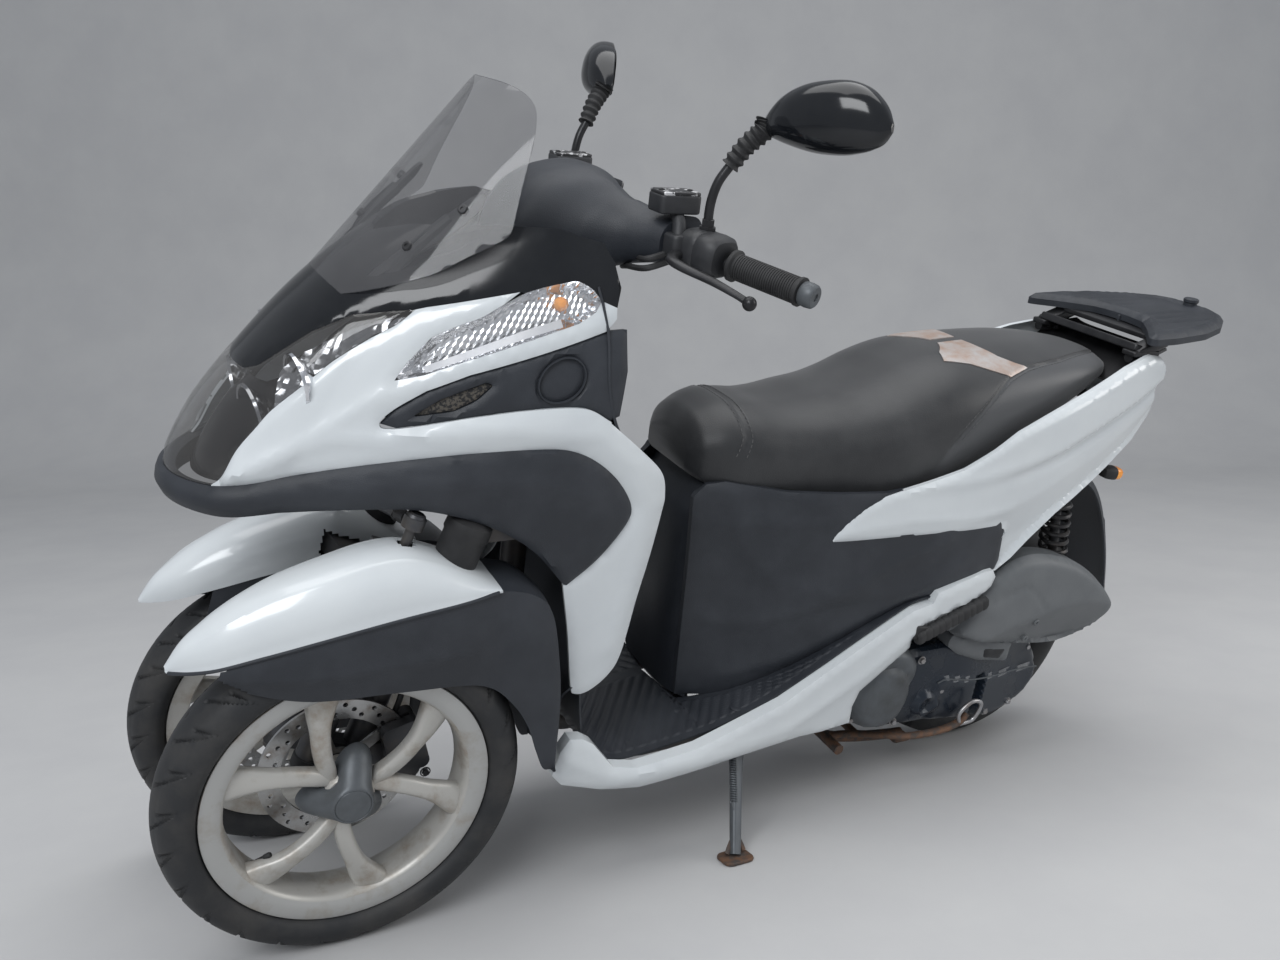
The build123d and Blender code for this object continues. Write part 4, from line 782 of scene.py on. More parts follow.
# %% [markdown]
# ## Cast wheels
# A barrel with a wide flat lip carries six spokes in three spread pairs. A spoke is a loft of rounded sections
# from hub to barrel, thicker at both roots, as a casting is, so that light rolls off its edges.

# %% Rims, hub caps and valves
def section(wide, tall, n=20, power=3.2):
    """A superellipse: |x/wide|^p + |y/tall|^p = 1."""
    t = circle(n)
    c, s = np.cos(t), np.sin(t)
    return cols(wide * np.sign(c) * np.abs(c) ** (2 / power), tall * np.sign(s) * np.abs(s) ** (2 / power))


def cast_rim(name, bead, half, hub_half, outward, body, node, centre, w, slot_y, cap=True):
    lip, c = bead + 17, np.array(centre, float)
    parts = Parts()
    barrel = [(lip, half), (lip - 1, half + 0.6), (bead + 3, half + 0.4), (bead - 6, half - 1), (bead - 12, half - 4),
        (bead - 15, half - 10), (bead - 16, half - 16), (bead - 17, 0), (bead - 16, -half + 16),
        (bead - 14, -half + 6), (bead - 10, -half), (lip, -half), (lip + 0.2, -half + 4), (bead + 1, -half + 6.8),
        (bead - 1, -half + 12), (bead - 8, -half + 16), (bead - 8, half - 16), (bead - 1, half - 12),
        (bead + 1, half - 6.8), (lip + 0.2, half - 4)]
    axis = np.array([0, outward, 0.0])
    parts.table(lathe(barrel, c, c + axis, 144), close_n=True, close_m=True)
    for k in range(3):
        for spread in (-31, 31):
            tip = radians(48 + 120 * k + spread)
            root = radians(48 + 120 * k + spread * 0.05)
            g = []
            for s in np.linspace(0, 1, 15):
                angle = mix(root, tip, s ** 0.62)
                r = mix(36, bead - 12, s)
                out = np.array([cos(angle), 0, sin(angle)])
                across = np.array([-sin(angle), 0, cos(angle)])
                wide = 12.5 + 2.5 * s + 9.5 * step(s, 0.55, 1.0)
                tall = 11.5 - 1.5 * sin(pi * s) + 3 * step(s, 0.85, 1)
                middle = 6 + 9 * sin(pi * s * 0.9)
                q = section(wide, tall, 24, 3.2)
                q[:, 1] += 3.2 * (1 - np.abs(q[:, 0] / wide - 0.45 * np.sign(spread))) * (q[:, 1] > 0)
                g.append(c + r * out + q[:, :1] * across + (q[:, 1:] + middle) * axis)
            parts.table(np.stack(g), close_m=True)
    hub = [(1, hub_half + 1), (20, hub_half + 1), (33, hub_half - 1), (36, hub_half - 5), (37, 4),
        (35, -hub_half + 4), (33, -hub_half), (24, -hub_half - 1), (24, -slot_y), (12, -slot_y)]
    parts.turned(hub, c, c + axis, 64)
    a = radians(-38)
    stem = c + (bead - 20) * np.array([cos(a), 0, sin(a)])
    inward = -np.array([cos(a), 0, sin(a)])
    valve = Parts().turned([(5.5, -4), (5.5, 2), (3.8, 5), (3.6, 20), (4.4, 21), (4.4, 29), (3, 31), (0.1, 31)], stem,
        stem + inward + 0.35 * axis, 16)
    valve.make(name + "_valve", "rubber", "tyre", body=body, w=w)
    if cap:
        bell = [(48, -4, 0.42), (47, 6, 0.4), (45, 14, 0.33), (41, 24, 0.24), (36, 34, 0.13), (31, 42, 0.05),
            (28.5, 46, 0.01), (26.5, 47.5, 0), (25.4, 47.6, 0), (24.6, 46.6, 0), (23.8, 47.6, 0), (0.1, 48.2, 0)]
        t = circle(96)[::-1] * outward
        g = np.array([[(r * (1 + lobe * cos(3 * (a - radians(108)))) * cos(a), outward * d,
            r * (1 + lobe * cos(3 * (a - radians(108)))) * sin(a)) for a in t] for r, d, lobe in bell]) + c
        Parts().table(g, close_m=True).make(name + "_hub_cap", "crank", "grey_plastic", body=body, w=w)
    parts.make(name, "wheel", "wheel_silver", node, body=body, w=w, sharp=38)
    flat = [(lip - 0.4, half + 0.9), (lip - 2, half + 1.3), (bead + 2, half + 1.0), (bead - 5, half - 0.2),
        (bead - 10, half - 2.6)]
    Parts().turned(flat, c, c + axis, 144).make(name + "_lip", "lip", "wheel_silver", body=body, w=w)


for name, side, w in FRONT:
    cast_rim("wheel_" + name, 179, 33, 26, side, "wheel_front_" + name, "rim_" + name, FRONT_AXLE, w, 42)
cast_rim("wheel_rear_cast", 153, 38, 34, -1, "wheel_rear", "rim_rear", REAR_AXLE, 0, 40, cap=False)

# %% [markdown]
# ## Fenders
# The white top is a leaf: its width and height taper to a point in front, and its section is a low arch.
# Under it a dark shell closes the sides and runs down behind the wheel as a tail. The fork's crown and the
# kingpin pass through the inboard side, so the mesh is left open there.

# %% Fender tops
TOP_ROWS = ((222, 480), (205, 505), (175, 531), (110, 571), (22, 602), (-30, 614), (-66, 615), (-110, 600),
    (-150, 579), (-192, 556))
SEAM_ROWS = ((222, 477), (180, 488), (140, 500), (36, 525), (-70, 541), (-150, 550), (-192, 555))
OUT_ROWS = ((224, 3), (205, 20), (180, 36), (110, 56), (50, 64), (-60, 65), (-150, 62), (-192, 56), (-240, 58),
    (-300, 54))
IN_ROWS = ((224, -3), (205, -18), (180, -32), (110, -50), (50, -55), (-150, -55), (-192, -50), (-300, -50))
CASTER, TRAIL = radians(20), 68.0


def axis_coords(p):
    """Height along the steering axis and distance ahead of it."""
    dx = p[..., 0] - TRAIL
    return (-dx * sin(CASTER) + p[..., 2] * cos(CASTER), dx * cos(CASTER) + p[..., 2] * sin(CASTER))


def clear_of_fork(p):
    """False where the crown, kingpin or tie-rod stud passes through."""
    s, ahead = axis_coords(p)
    across = p[..., 1]
    crown = (s > 552) & (s < 590) & (ahead > -38) & (ahead < 94) & (across < 24)
    kingpin = (np.hypot(ahead, across) < 28) & (s > 550)
    stud = (np.hypot(ahead - 75, across) < 13) & (s > 550)
    return ~(crown | kingpin | stud)


def shell(parts, grid, thick, keep=None):
    """A table given thickness: a second copy set back along its own normals, and walls round the edge."""
    g = np.asarray(grid, float)
    n = normals_of(g)
    count = g.shape[0] * g.shape[1]
    both = np.concatenate([g.reshape(-1, 3), (g - n * thick).reshape(-1, 3)])
    faces = quads(*g.shape[:2])
    if keep is not None:
        flat = g.reshape(-1, 3)
        middle = np.array([flat[f].mean(0) for f in faces])
        faces = [f for f, ok in zip(faces, keep(middle)) if ok]
    edges = {}
    for f in faces:
        for a, b in zip(f, f[1:] + f[:1]):
            edges[(a, b)] = edges.get((a, b), 0) + 1
    rim = [(a, b) for a, b in edges if (b, a) not in edges]
    back = [[q + count for q in f[::-1]] for f in faces]
    walls = [[b, a, a + count, b + count] for a, b in rim]
    return parts.add(both, faces + back + walls)


def fender_top(side):
    x = np.linspace(221.5, -191, 130)
    top, seam = rows(TOP_ROWS, x, 1), rows(SEAM_ROWS, x, 1)
    out, inner = rows(OUT_ROWS, x, 1), rows(IN_ROWS, x, 1)
    t = np.linspace(0, np.pi, 44)
    g = np.zeros((len(x), len(t), 3))
    c, s = np.cos(t), np.sin(t)
    flatten = np.sign(c) * np.abs(c) ** 0.8
    g[..., 0] = x[:, None]
    g[..., 1] = (out + inner)[:, None] / 2 + (out - inner)[:, None] / 2 * flatten
    rise = np.abs(s) ** 0.86
    g[..., 2] = seam[:, None] + (top - seam)[:, None] * rise
    ridge = np.exp(-np.abs(t - 1.02) / 0.11)[None, :] * (2.6 * step(x, -190, -60) * (1 - step(x, 150, 215)))[:, None]
    g[..., 2] += ridge
    g[:, 0, 1] += 1.5
    g[..., 1] *= side
    return g if side > 0 else g[:, ::-1]


LOW = ((222, 478), (205, 481), (150, 459), (60, 433), (-50, 424), (-140, 416), (-190, 398), (-222, 366), (-246, 326),
    (-262, 280), (-276, 246), (-289, 241))
HIGH = ((222.5, 479), (200, 484), (140, 500), (36, 525), (-70, 541), (-150, 550), (-200, 551), (-242, 538),
    (-268, 505), (-284, 430), (-292, 350), (-291, 245))


def fender_shell(side):
    """Outboard wall, back and inboard wall as one strip between the lower and upper side-view lines."""
    low = smooth_path(LOW, 110)
    high = smooth_path(HIGH, 110)
    out, inner = rows(OUT_ROWS, high[:, 0], 1) - 1.5, rows(IN_ROWS, high[:, 0], 1) + 1.5
    g = []
    for v in np.linspace(0, 1, 16):
        bulge = 5.5 * sin(pi * v) - 7 * (1 - v) ** 2
        fold = 4.0 * exp(-abs(v - 0.42) / 0.07)
        p = mix(low, high, v)
        y = out + bulge + fold * step(low[:, 0], -260, -60) * (1 - step(low[:, 0], 40, 190))
        g.append(np.c_[p[:, 0], y, p[:, 1]])
    tail = step(-high[:, 0], 192, 236)
    for a in np.linspace(0.12, 0.88, 12):
        arch = sin(pi * a)
        p = high + np.c_[-6 * arch * tail, 5 * arch * (1 - step(-high[:, 0], 200, 260))]
        g.append(np.c_[p[:, 0], mix(out, inner, a), p[:, 1]])
    for v in np.linspace(1, 0, 8):
        p = mix(low, high, v)
        g.append(np.c_[p[:, 0], inner, p[:, 1]])
    g = np.stack(g, 1)
    g[..., 1] *= side
    return g if side > 0 else g[:, ::-1]


def open_front(p):
    """The strip across exists only behind the white top: in front the top itself closes the shell."""
    s, ahead = axis_coords(p)
    between = (np.abs(p[..., 1]) < 47) & (p[..., 0] > -186)
    return clear_of_fork(p) & ~between


for name, side, w in FRONT:
    keep = (lambda p, s=side: clear_of_fork(p * (1, s, 1)))
    shell(Parts(), fender_top(side), 3.0, keep).make("fender_top_" + name, "white", "white_paint", "fender_" + name,
        body="fork_" + name, w=w)
    keep = (lambda p, s=side: open_front(p * (1, s, 1)))
    dark = shell(Parts(), fender_shell(side), 3.0, keep)
    x = np.linspace(218, -186, 40)
    edge = np.c_[x, (rows(OUT_ROWS, x, 1) + 0.8) * side, rows(SEAM_ROWS, x, 1) - 1.5]
    dark.tube(edge, 2.6, 60, 8)
    dark.make("fender_shell_" + name, "dark", "black_plastic", "fender_skirt_" + name, body="fork_" + name, w=w)

# %% [markdown]
# ## Seat
# The cushion is a crowned skin over foam: each cross section is a soft arch with a tight lower edge, and the
# long line dips for the rider and steps up for the passenger. Seams are shallow valleys with a stitched thread
# each side. The lighter side panels are a tone carried by the points, so they follow the seams exactly.

# %% Seat cushion
SEAT_ROWS = ((-556, 690, 724, 66), (-568, 682, 748, 86), (-590, 672, 764, 103), (-620, 661, 775, 117),
    (-660, 655, 774, 128), (-710, 652, 770, 137), (-760, 650, 773, 146), (-800, 649, 779, 153), (-876, 649, 789, 166),
    (-920, 653, 802, 171), (-967, 660, 822, 173), (-1029, 680, 841, 172), (-1080, 698, 847, 169),
    (-1125, 716, 850, 165), (-1200, 745, 853, 157), (-1278, 776, 853, 145), (-1370, 808, 845, 118),
    (-1410, 815, 838, 96), (-1440, 818, 828, 66))


def seat_point(x, v):
    """v runs 0 at the left lower edge, 0.5 on the crown, 1 at the right lower edge."""
    low, high, half = (rows(SEAT_ROWS, x, k) for k in (1, 2, 3))
    t = np.pi * v
    c, s = np.cos(t), np.sin(t)
    y = half * np.sign(c) * np.abs(c) ** 0.62
    z = low + (high - low) * np.abs(s) ** 0.6 + 9 * np.exp(-(c / 0.45) ** 2) - 9
    y = y * (1 - 0.06 * (1 - np.clip((z - low) / np.maximum(high - low, 1), 0, 1)) ** 2)
    return cols(x + 0 * c, y, z)


def seam_v(x):
    """Where the side seam lies at x, as a share of the way up from the left lower edge."""
    return np.interp(-x, [555, 976, 1016, 1064, 1136, 1188, 1276, 1440],
        [0.0, 0.015, 0.063, 0.131, 0.251, 0.289, 0.304, 0.4])


def front_seam_x(v):
    """The seam across the nose bends forward near the lower edge."""
    return -638.0 + 30 * np.clip((0.22 - v) / 0.22, 0, 1) ** 1.5


def build_seat():
    x = -np.concatenate([[556, 559, 564], np.linspace(571, 1430, 150), [1434, 1438, 1440]])
    v = np.concatenate([np.linspace(0, 0.04, 4)[:-1], np.linspace(0.04, 0.96, 84), np.linspace(0.96, 1, 4)[1:]])
    X, V = np.meshgrid(x, v, indexing="ij")
    g = seat_point(X, V)
    n = normals_of(g)
    if (n[60, 45] @ (0, 0, 1)) < 0:
        n = -n
    half = np.minimum(V, 1 - V)
    sides = seam_v(X)
    groove = 3.2 * np.exp(-((half - sides) / 0.01) ** 2) * step(-X, 985, 1015)
    front_seam = front_seam_x(half)
    groove += 3.4 * np.exp(-((X - front_seam) / 4.2) ** 2) * step(half, 0.06, 0.16)
    belly = 2.2 * np.exp(-((half - 0.5) / 0.22) ** 2) * np.exp(-((X + 780) / 90) ** 2)
    g = g - n * (groove + belly)[..., None]
    tone = (step(sides - half, -0.004, 0.004) * step(-X, 960, 1000)).ravel()
    skirt = np.concatenate([g[:, :1] + (0, -3, -5), g[:, :1] + (0, -14, -9)], 1)
    skirt2 = np.concatenate([g[:, -1:] + (0, 3, -5), g[:, -1:] + (0, 14, -9)], 1)
    whole = np.concatenate([skirt[:, ::-1], g, skirt2], 1)
    edge_tone = np.repeat(tone.reshape(len(x), -1)[:, :1], 2, 1)
    tone = np.concatenate([edge_tone, tone.reshape(len(x), -1), edge_tone], 1).ravel()
    verts = whole.reshape(-1, 3)
    faces = quads(*whole.shape[:2])
    m = whole.shape[1]
    faces += [list(range(m))[::-1], [(len(x) - 1) * m + k for k in range(m)]]
    faces += [[i * m, (i + 1) * m, (i + 2) * m - 1, (i + 1) * m - 1] for i in range(len(x) - 1)]
    o = make("seat_cushion", verts, faces, F["vinyl"], "seat", "seat", w=0, tone=tone, sharp=50)
    return g, n, x, v


seat_grid, seat_normal, seat_x, seat_v = build_seat()


def on_seat(x, v, lift=0.6):
    """Points on the finished cushion, read back from its table."""
    i = np.interp(-np.asarray(x, float), -seat_x, np.arange(len(seat_x)))
    j = np.interp(v, seat_v, np.arange(len(seat_v)))
    i0, j0 = np.minimum(i.astype(int), len(seat_x) - 2), np.minimum(j.astype(int), len(seat_v) - 2)
    a, b = (i - i0)[:, None], (j - j0)[:, None]
    out = []
    for t in (seat_grid, seat_normal):
        out.append((1 - a) * ((1 - b) * t[i0, j0] + b * t[i0, j0 + 1]) + a
            * ((1 - b) * t[i0 + 1, j0] + b * t[i0 + 1, j0 + 1]))
    return out[0] + out[1] * lift


def stitches(parts, x, v, length=5.0, gap=3.4):
    """Short thread dashes along a line on the cushion."""
    p = on_seat(x, v, 0.5)
    far = run_of(p)
    at = 0.0
    while at + length < far[-1]:
        ends = [np.array([np.interp(s, far, p[:, k]) for k in range(3)]) for s in (at, at + length / 2, at + length)]
        parts.tube(ends, 0.7, 3, 5)
        at += length + gap


thread = Parts()
for mirror_v in (False, True):
    for off in (-0.018, 0.018):
        x = -np.linspace(1025, 1425, 130)
        v = seam_v(x) + off
        stitches(thread, x, 1 - v if mirror_v else v)
    v = np.linspace(0.1, 0.42, 50)
    for off in (-8, 8):
        x = front_seam_x(v) + off
        stitches(thread, x, 1 - v if mirror_v else v)
v = np.linspace(0.42, 0.58, 30)
for off in (-8, 8):
    stitches(thread, front_seam_x(v) + off, v)
thread.make("seat_stitching", "thread", "seat_vinyl", body="seat")

strip = Parts()
for mirror_v in (False, True):
    line = np.array([(-1072, 0.496), (-1126, 0.496), (-1130, 0.455), (-1143, 0.386), (-1166, 0.33), (-1188, 0.291),
        (-1140, 0.258), (-1104, 0.318), (-1074, 0.371), (-1032, 0.412), (-1044, 0.458)])
    dense = resample(line * (1, 1500), 7) / (1, 1500)
    vv, ff = fill(dense * (1, 600), 8)
    vv = vv / (1, 600)
    q = on_seat(vv[:, 0], 1 - vv[:, 1] if mirror_v else vv[:, 1], 1.6)
    strip.add(q, facing(q, ff, UP))
    rim = on_seat(dense[:, 0], 1 - dense[:, 1] if mirror_v else dense[:, 1], 1.6)
    rim0 = on_seat(dense[:, 0], 1 - dense[:, 1] if mirror_v else dense[:, 1], -1.0)
    strip.table(np.stack([rim, rim0]), close_m=True)
strip.make("seat_strips", "bronze", "seat_vinyl", body="seat")

# %% [markdown]
# ## Pedestal and rear covers
# Behind the rider's legs the body is one long skin whose width grows, then narrows to the tail. The dark
# pedestal shows folds that sweep up and back; the white cover on it has long creases that meet at the tail.

# %% Rear skin
REAR_ROWS = ((-566, 262, 700, 108, 100), (-640, 262, 700, 134, 126), (-700, 262, 700, 152, 147),
    (-780, 262, 700, 170, 168), (-900, 310, 745, 184, 180), (-1060, 380, 820, 195, 187), (-1200, 462, 828, 188, 177),
    (-1330, 540, 835, 176, 163), (-1440, 620, 842, 153, 143), (-1535, 690, 850, 128, 122),
    (-1560, 700, 852, 122, 116))


def rear_skin(hand):
    """y from x and height, with a belly between the two edges."""
    def surface(x, z):
        def y_at(x, z):
            low, high, wide_low, wide_high = (rows(REAR_ROWS, x, k) for k in (1, 2, 3, 4))
            s = np.clip((z - low) / (high - low), -0.2, 1.2)
            return mix(wide_low, wide_high, s) + 5 * np.sin(np.pi * np.clip(s, 0, 1))
        y = y_at(x, z)
        dx, dz = (y_at(x + 2, z) - y_at(x - 2, z)) / 4, (y_at(x, z + 2) - y_at(x, z - 2)) / 4
        n = cols(-dx, 1 + 0 * dx, -dz)
        n /= np.linalg.norm(n, axis=1)[:, None]
        return cols(x, y * hand, z), n * (1, hand, 1)
    return surface


def side_crease(line, height, width):
    """A ridge along a line drawn in side view."""
    return ridge([line], height, width)


COVER = ((-772, 569), (-800, 600), (-833, 626), (-871, 645), (-957, 666), (-1024, 684), (-1085, 712), (-1135, 740),
    (-1230, 774), (-1328, 808), (-1400, 832), (-1472, 848), (-1508, 842), (-1527, 822), (-1526, 797), (-1512, 784),
    (-1515, 757), (-1509, 733), (-1468, 688), (-1400, 647), (-1330, 608), (-1271, 574), (-1215, 532), (-1178, 500),
    (-1145, 481), (-1100, 474), (-1057, 468), (-1012, 460), (-1037, 480), (-1071, 500), (-1116, 524), (-1138, 543),
    (-1147, 553), (-1142, 562), (-1120, 568), (-1065, 569), (-924, 571))
GROOVE = ((-1015, 646), (-1072, 653), (-1132, 665), (-1187, 677), (-1242, 693), (-1302, 716), (-1374, 741),
    (-1452, 768), (-1530, 799))
UNDER = ((-1031, 580), (-1129, 600), (-1211, 626), (-1283, 655), (-1365, 688), (-1455, 731), (-1530, 770))
under_fold = side_crease(((-800, 585), (-930, 600), (-1060, 596), (-1140, 604)), 3.0, 12)


def cover_relief(x, z):
    """The upper band stands proud of a groove that deepens to the tail; below the under line the skin turns in."""
    over = z - rows(GROOVE, x, 1)
    deep = step(-x, 1040, 1300)
    ledge = 7.5 * step(over, -1, 9) * deep - 4.5 * np.exp(-((over + 7) / 9) ** 2) * deep
    brow = 3.0 * np.exp(-((over - 16) / 12) ** 2) * (1 - deep)
    return ledge + brow - 0.2 * np.clip(rows(UNDER, x, 1) - z, 0, 70) + under_fold(x, z)


covers = Parts()
for side in (1, -1):
    skin_panel(covers, COVER, rear_skin(side), lift=1, edge=5, crown=3, thick=8, pitch=6.5, relief=cover_relief)
tail = []
for x in np.linspace(-1478, -1526, 8):
    y = np.linspace(1, -1, 17)
    wide = np.interp(-x, [1470, 1510, 1526], [138, 124, 118])
    top = np.interp(-x, [1470, 1512, 1526], [840, 838, 828])
    tail.append(cols(x + 0 * y, wide * y, top - 9 * np.abs(y) ** 6 + 2 * (1 - y * y)))
covers.table(np.stack(tail))
end = [cols(np.full(17, -1526 + k * 4.0), np.linspace(118 - 4 * k, -118 + 4 * k, 17),
    np.full(17, 826.0) - k * 28 - 6 * np.abs(np.linspace(1, -1, 17)) ** 6) for k in range(5)]
covers.table(np.stack(end))
covers.make("rear_cover_panels", "white", "white_paint", "rear_covers")

BASE = ((-566, 286), (-562, 420), (-560, 560), (-558, 640), (-575, 662), (-604, 668), (-700, 655), (-878, 650),
    (-957, 660), (-1024, 682), (-1080, 706), (-1100, 640), (-1145, 560), (-1150, 500), (-1141, 472), (-1106, 474),
    (-1016, 449), (-953, 442), (-841, 387), (-703, 315), (-640, 287))
base_lines = [side_crease(((-620, 640), (-640, 560), (-700, 500), (-820, 470), (-960, 470), (-1090, 500)), 6, 22),
    side_crease(((-600, 430), (-690, 432), (-800, 470), (-900, 520), (-1010, 560)), 6, 16),
    side_crease(((-640, 330), (-740, 360), (-850, 420), (-960, 468), (-1060, 520)), 5, 16),
    side_crease(((-570, 600), (-700, 604), (-780, 600)), 3, 14)]
base = Parts()
for side in (1, -1):
    skin_panel(base, BASE, rear_skin(side), lift=-2.5, edge=4, crown=2, thick=10, pitch=9,
        relief=lambda a, b: sum(r(a, b) for r in base_lines))
front = []
for z in np.linspace(280, 664, 34):
    wide = np.interp(z, [262, 700], [108, 100])
    y = np.linspace(1, -1, 21)
    swell = 14 * sin(pi * (z - 262) / 440) - 26 * step(np.array(z), 600, 664)
    front.append(cols(-566 + swell - 22 * np.abs(y) ** 4 + 0 * y, wide * y, z + 0 * y))
shell(base, np.stack(front)[:, ::-1], 3)
base.make("pedestal_panels", "dark", "black_plastic", "seat_base")

# %% [markdown]
# ## Skirts, floor and leg shield
# The white skirt is a long blade under the rider's foot. The floor behind it is a ribbed mat: a fine table whose
# height carries slanted ribs, and round studs set where a foot rests. It climbs beside the pedestal to the pegs.

# %% Skirts
SKIRT = ((-304, 258), (-312, 300), (-325, 322), (-345, 320), (-362, 309), (-398, 262), (-439, 253), (-545, 266),
    (-703, 313), (-841, 385), (-953, 440), (-996, 446), (-1003, 465), (-1047, 476), (-1108, 489), (-1127, 489),
    (-1138, 474), (-1134, 455), (-1120, 445), (-1077, 429), (-1010, 413), (-974, 400), (-965, 380), (-965, 364),
    (-869, 297), (-860, 268), (-862, 234), (-800, 231), (-754, 234), (-631, 228), (-448, 214), (-383, 222),
    (-319, 240))
SKIRT_ROWS = ((-260, 198), (-300, 213), (-350, 221), (-800, 222), (-1000, 213), (-1160, 203))


def skirt_skin(hand):
    def surface(x, z):
        y = rows(SKIRT_ROWS, x, 1) + 0 * z
        up = np.interp(-x, [304, 400, 545, 703, 841, 953, 1120], [300, 262, 266, 313, 385, 440, 486])
        y = y - 0.05 * np.clip(up - z, 0, None)
        n = cols(0 * x, 1 + 0 * x, -0.05 + 0 * x)
        return cols(x, y * hand, z), n * (1, hand, 1)
    return surface


skirts = Parts()
keel = side_crease(((-320, 290), (-400, 240), (-560, 244), (-720, 262), (-860, 330), (-960, 396), (-1110, 446)), 5,
    14)
for side in (1, -1):
    skin_panel(skirts, SKIRT, skirt_skin(side), lift=0, edge=5, crown=1.5, thick=20, pitch=9, relief=keel)
skirts.make("side_skirt_panels", "white", "white_paint", "side_skirts")

# %% Floor mat and leg shield
FLOOR = ((-346, 392), (-350, 340), (-356, 300), (-372, 274), (-400, 262), (-440, 257), (-545, 269), (-604, 280),
    (-703, 316), (-841, 388), (-953, 443), (-1012, 452))


def floor_mat():
    """z along the path plus ribs: a triangle wave of x + y, faded out near the borders."""
    path = smooth_path(FLOOR, 300)
    far = run_of(path)
    normal = square_to(path)
    normal *= np.sign(normal[:, 1:] + 1e-6)
    parts = Parts()
    for side in (1, -1):
        s = np.linspace(0, 1, 96)
        x, z = path[:, 0], path[:, 1]
        inner = np.interp(-x, [346, 560, 572, 640, 780, 900, 1012], [0, 0, 100, 128, 164, 178, 186])
        outer = np.interp(-x, [346, 360, 400, 800, 1012], [186, 198, 203, 203, 196])
        y = mix(inner[:, None], outer[:, None], s[None])
        flat = step(far, 70, 95)[:, None] * (1 - step(far, far[-1] - 60, far[-1] - 30))[:, None]
        border = step(y - inner[:, None], 10, 16) * step(outer[:, None] - y, 12, 17)
        wave = np.abs(((far[:, None] * 0.8 + y * 0.6) / 8.5) % 2 - 1)
        rib = 1.7 * step(wave, 0.35, 0.62) * flat * border
        g = np.zeros((*y.shape, 3))
        g[..., 0] = x[:, None] + normal[:, :1] * rib
        g[..., 1] = y * side
        g[..., 2] = z[:, None] + normal[:, 1:] * rib
        shell(parts, g if side > 0 else g[:, ::-1], 3)
        for sx, sy in ((-455, 172), (-560, 128), (-640, 182)):
            sz = np.interp(-sx, -path[:, 0], path[:, 1])
            parts.turned([(11, -1), (11, 2.4), (9, 3.6), (4, 4.0), (0.1, 4.0)], (sx, sy * side, sz),
                (sx, sy * side, sz + 1), 28)
    parts.make("floor_mat", "dark", "black_plastic", "floor_board", sharp=28)


floor_mat()
SHIELD = ((-330, 250), (-334, 300), (-338, 392), (-380, 440), (-396, 490), (-406, 549), (-414, 640), (-419, 720),
    (-398, 772), (-366, 812), (-348, 870), (-342, 945), (-330, 1000))
path = smooth_path(SHIELD, 120)
y = np.linspace(-1, 1, 71)
wide = np.minimum(rows(NOSE_ROWS, path[:, 1], 2) - 5, np.interp(path[:, 1], [250, 392, 470], [150, 196, 240]))
g = np.zeros((120, 71, 3))
g[..., 1] = wide[:, None] * y
hollow = 22 * (1 - y ** 2)[None] * (step(path[:, 1], 420, 560) * (1 - step(path[:, 1], 860, 960)))[:, None]
lid = np.maximum(np.abs(g[..., 1]) / 128, np.abs(path[:, 1][:, None] - 700) / 74)
seam = 3.2 * np.exp(-((lid - 1) / 0.022) ** 2)
roll = 16 * np.abs(y) ** 10
g[..., 0] = path[:, :1] + 8 + hollow * 0.5 + seam + roll[None]
g[..., 2] = path[:, 1:]
shield = shell(Parts(), g[:, ::-1], 3)
shield.turned([(19, 0), (19, 4), (16, 6), (9, 6.5), (8, 4), (0.1, 4)], (-346, -100, 895), (-356, -100, 895), 32)
shield.tube(((-405, 40, 770), (-428, 40, 768), (-430, 40, 752), (-418, 40, 744)), 4.0, 16, 10)
shield.make("leg_shield_panel", "dark", "black_plastic", "leg_shield")
key = Parts().block(rounded(9, 11, 5), (-385, -100, 895), (0, 0, 1), (1, 0, 0.02), 4, 1.5)
key.block(rounded(2.5, 14, 1), (-366, -100, 893.8), UP, AHEAD, 2, 0.4)
key.block(rounded(11, 15, 7), (-388, -101, 862), (0, 0.1, 1), (1, 0, 0.1), 5, 2)
ring = np.linspace(0, 2 * np.pi, 25)
key.table(hose(np.c_[-387 + 9 * np.cos(ring), -98.5 + 2 * np.sin(ring), 877 + 10 * np.sin(ring)], 0.9, 40, 6),
    close_m=True)
key.make("key_and_fob", "control", "control_plastic", "ignition")

# %% [markdown]
# ## Windscreen
# The screen is a sheet bent to a cylinder that leans back. Its outline is cut in front view and rounded at the
# top. A black bracket shows through it, with two screws a side.

# %% Windscreen and its bracket
RAKE_SINE, RAKE_COSINE, SCREEN_RADIUS = 0.65, 0.7597, 215.0


def screen_skin(y, z):
    """Sag behind the middle line is d = R - sqrt(R^2 - y^2), set back square to the leaning line."""
    d = SCREEN_RADIUS - np.sqrt(SCREEN_RADIUS ** 2 - np.clip(np.abs(y), 0, SCREEN_RADIUS - 1) ** 2)
    s = (z - 949 + RAKE_SINE * d) / RAKE_COSINE
    x = 22 - RAKE_SINE * s - RAKE_COSINE * d
    round_ = y / SCREEN_RADIUS
    n = cols(RAKE_COSINE * np.sqrt(1 - round_ ** 2), round_, RAKE_SINE * np.sqrt(1 - round_ ** 2))
    return cols(x, y, z), n


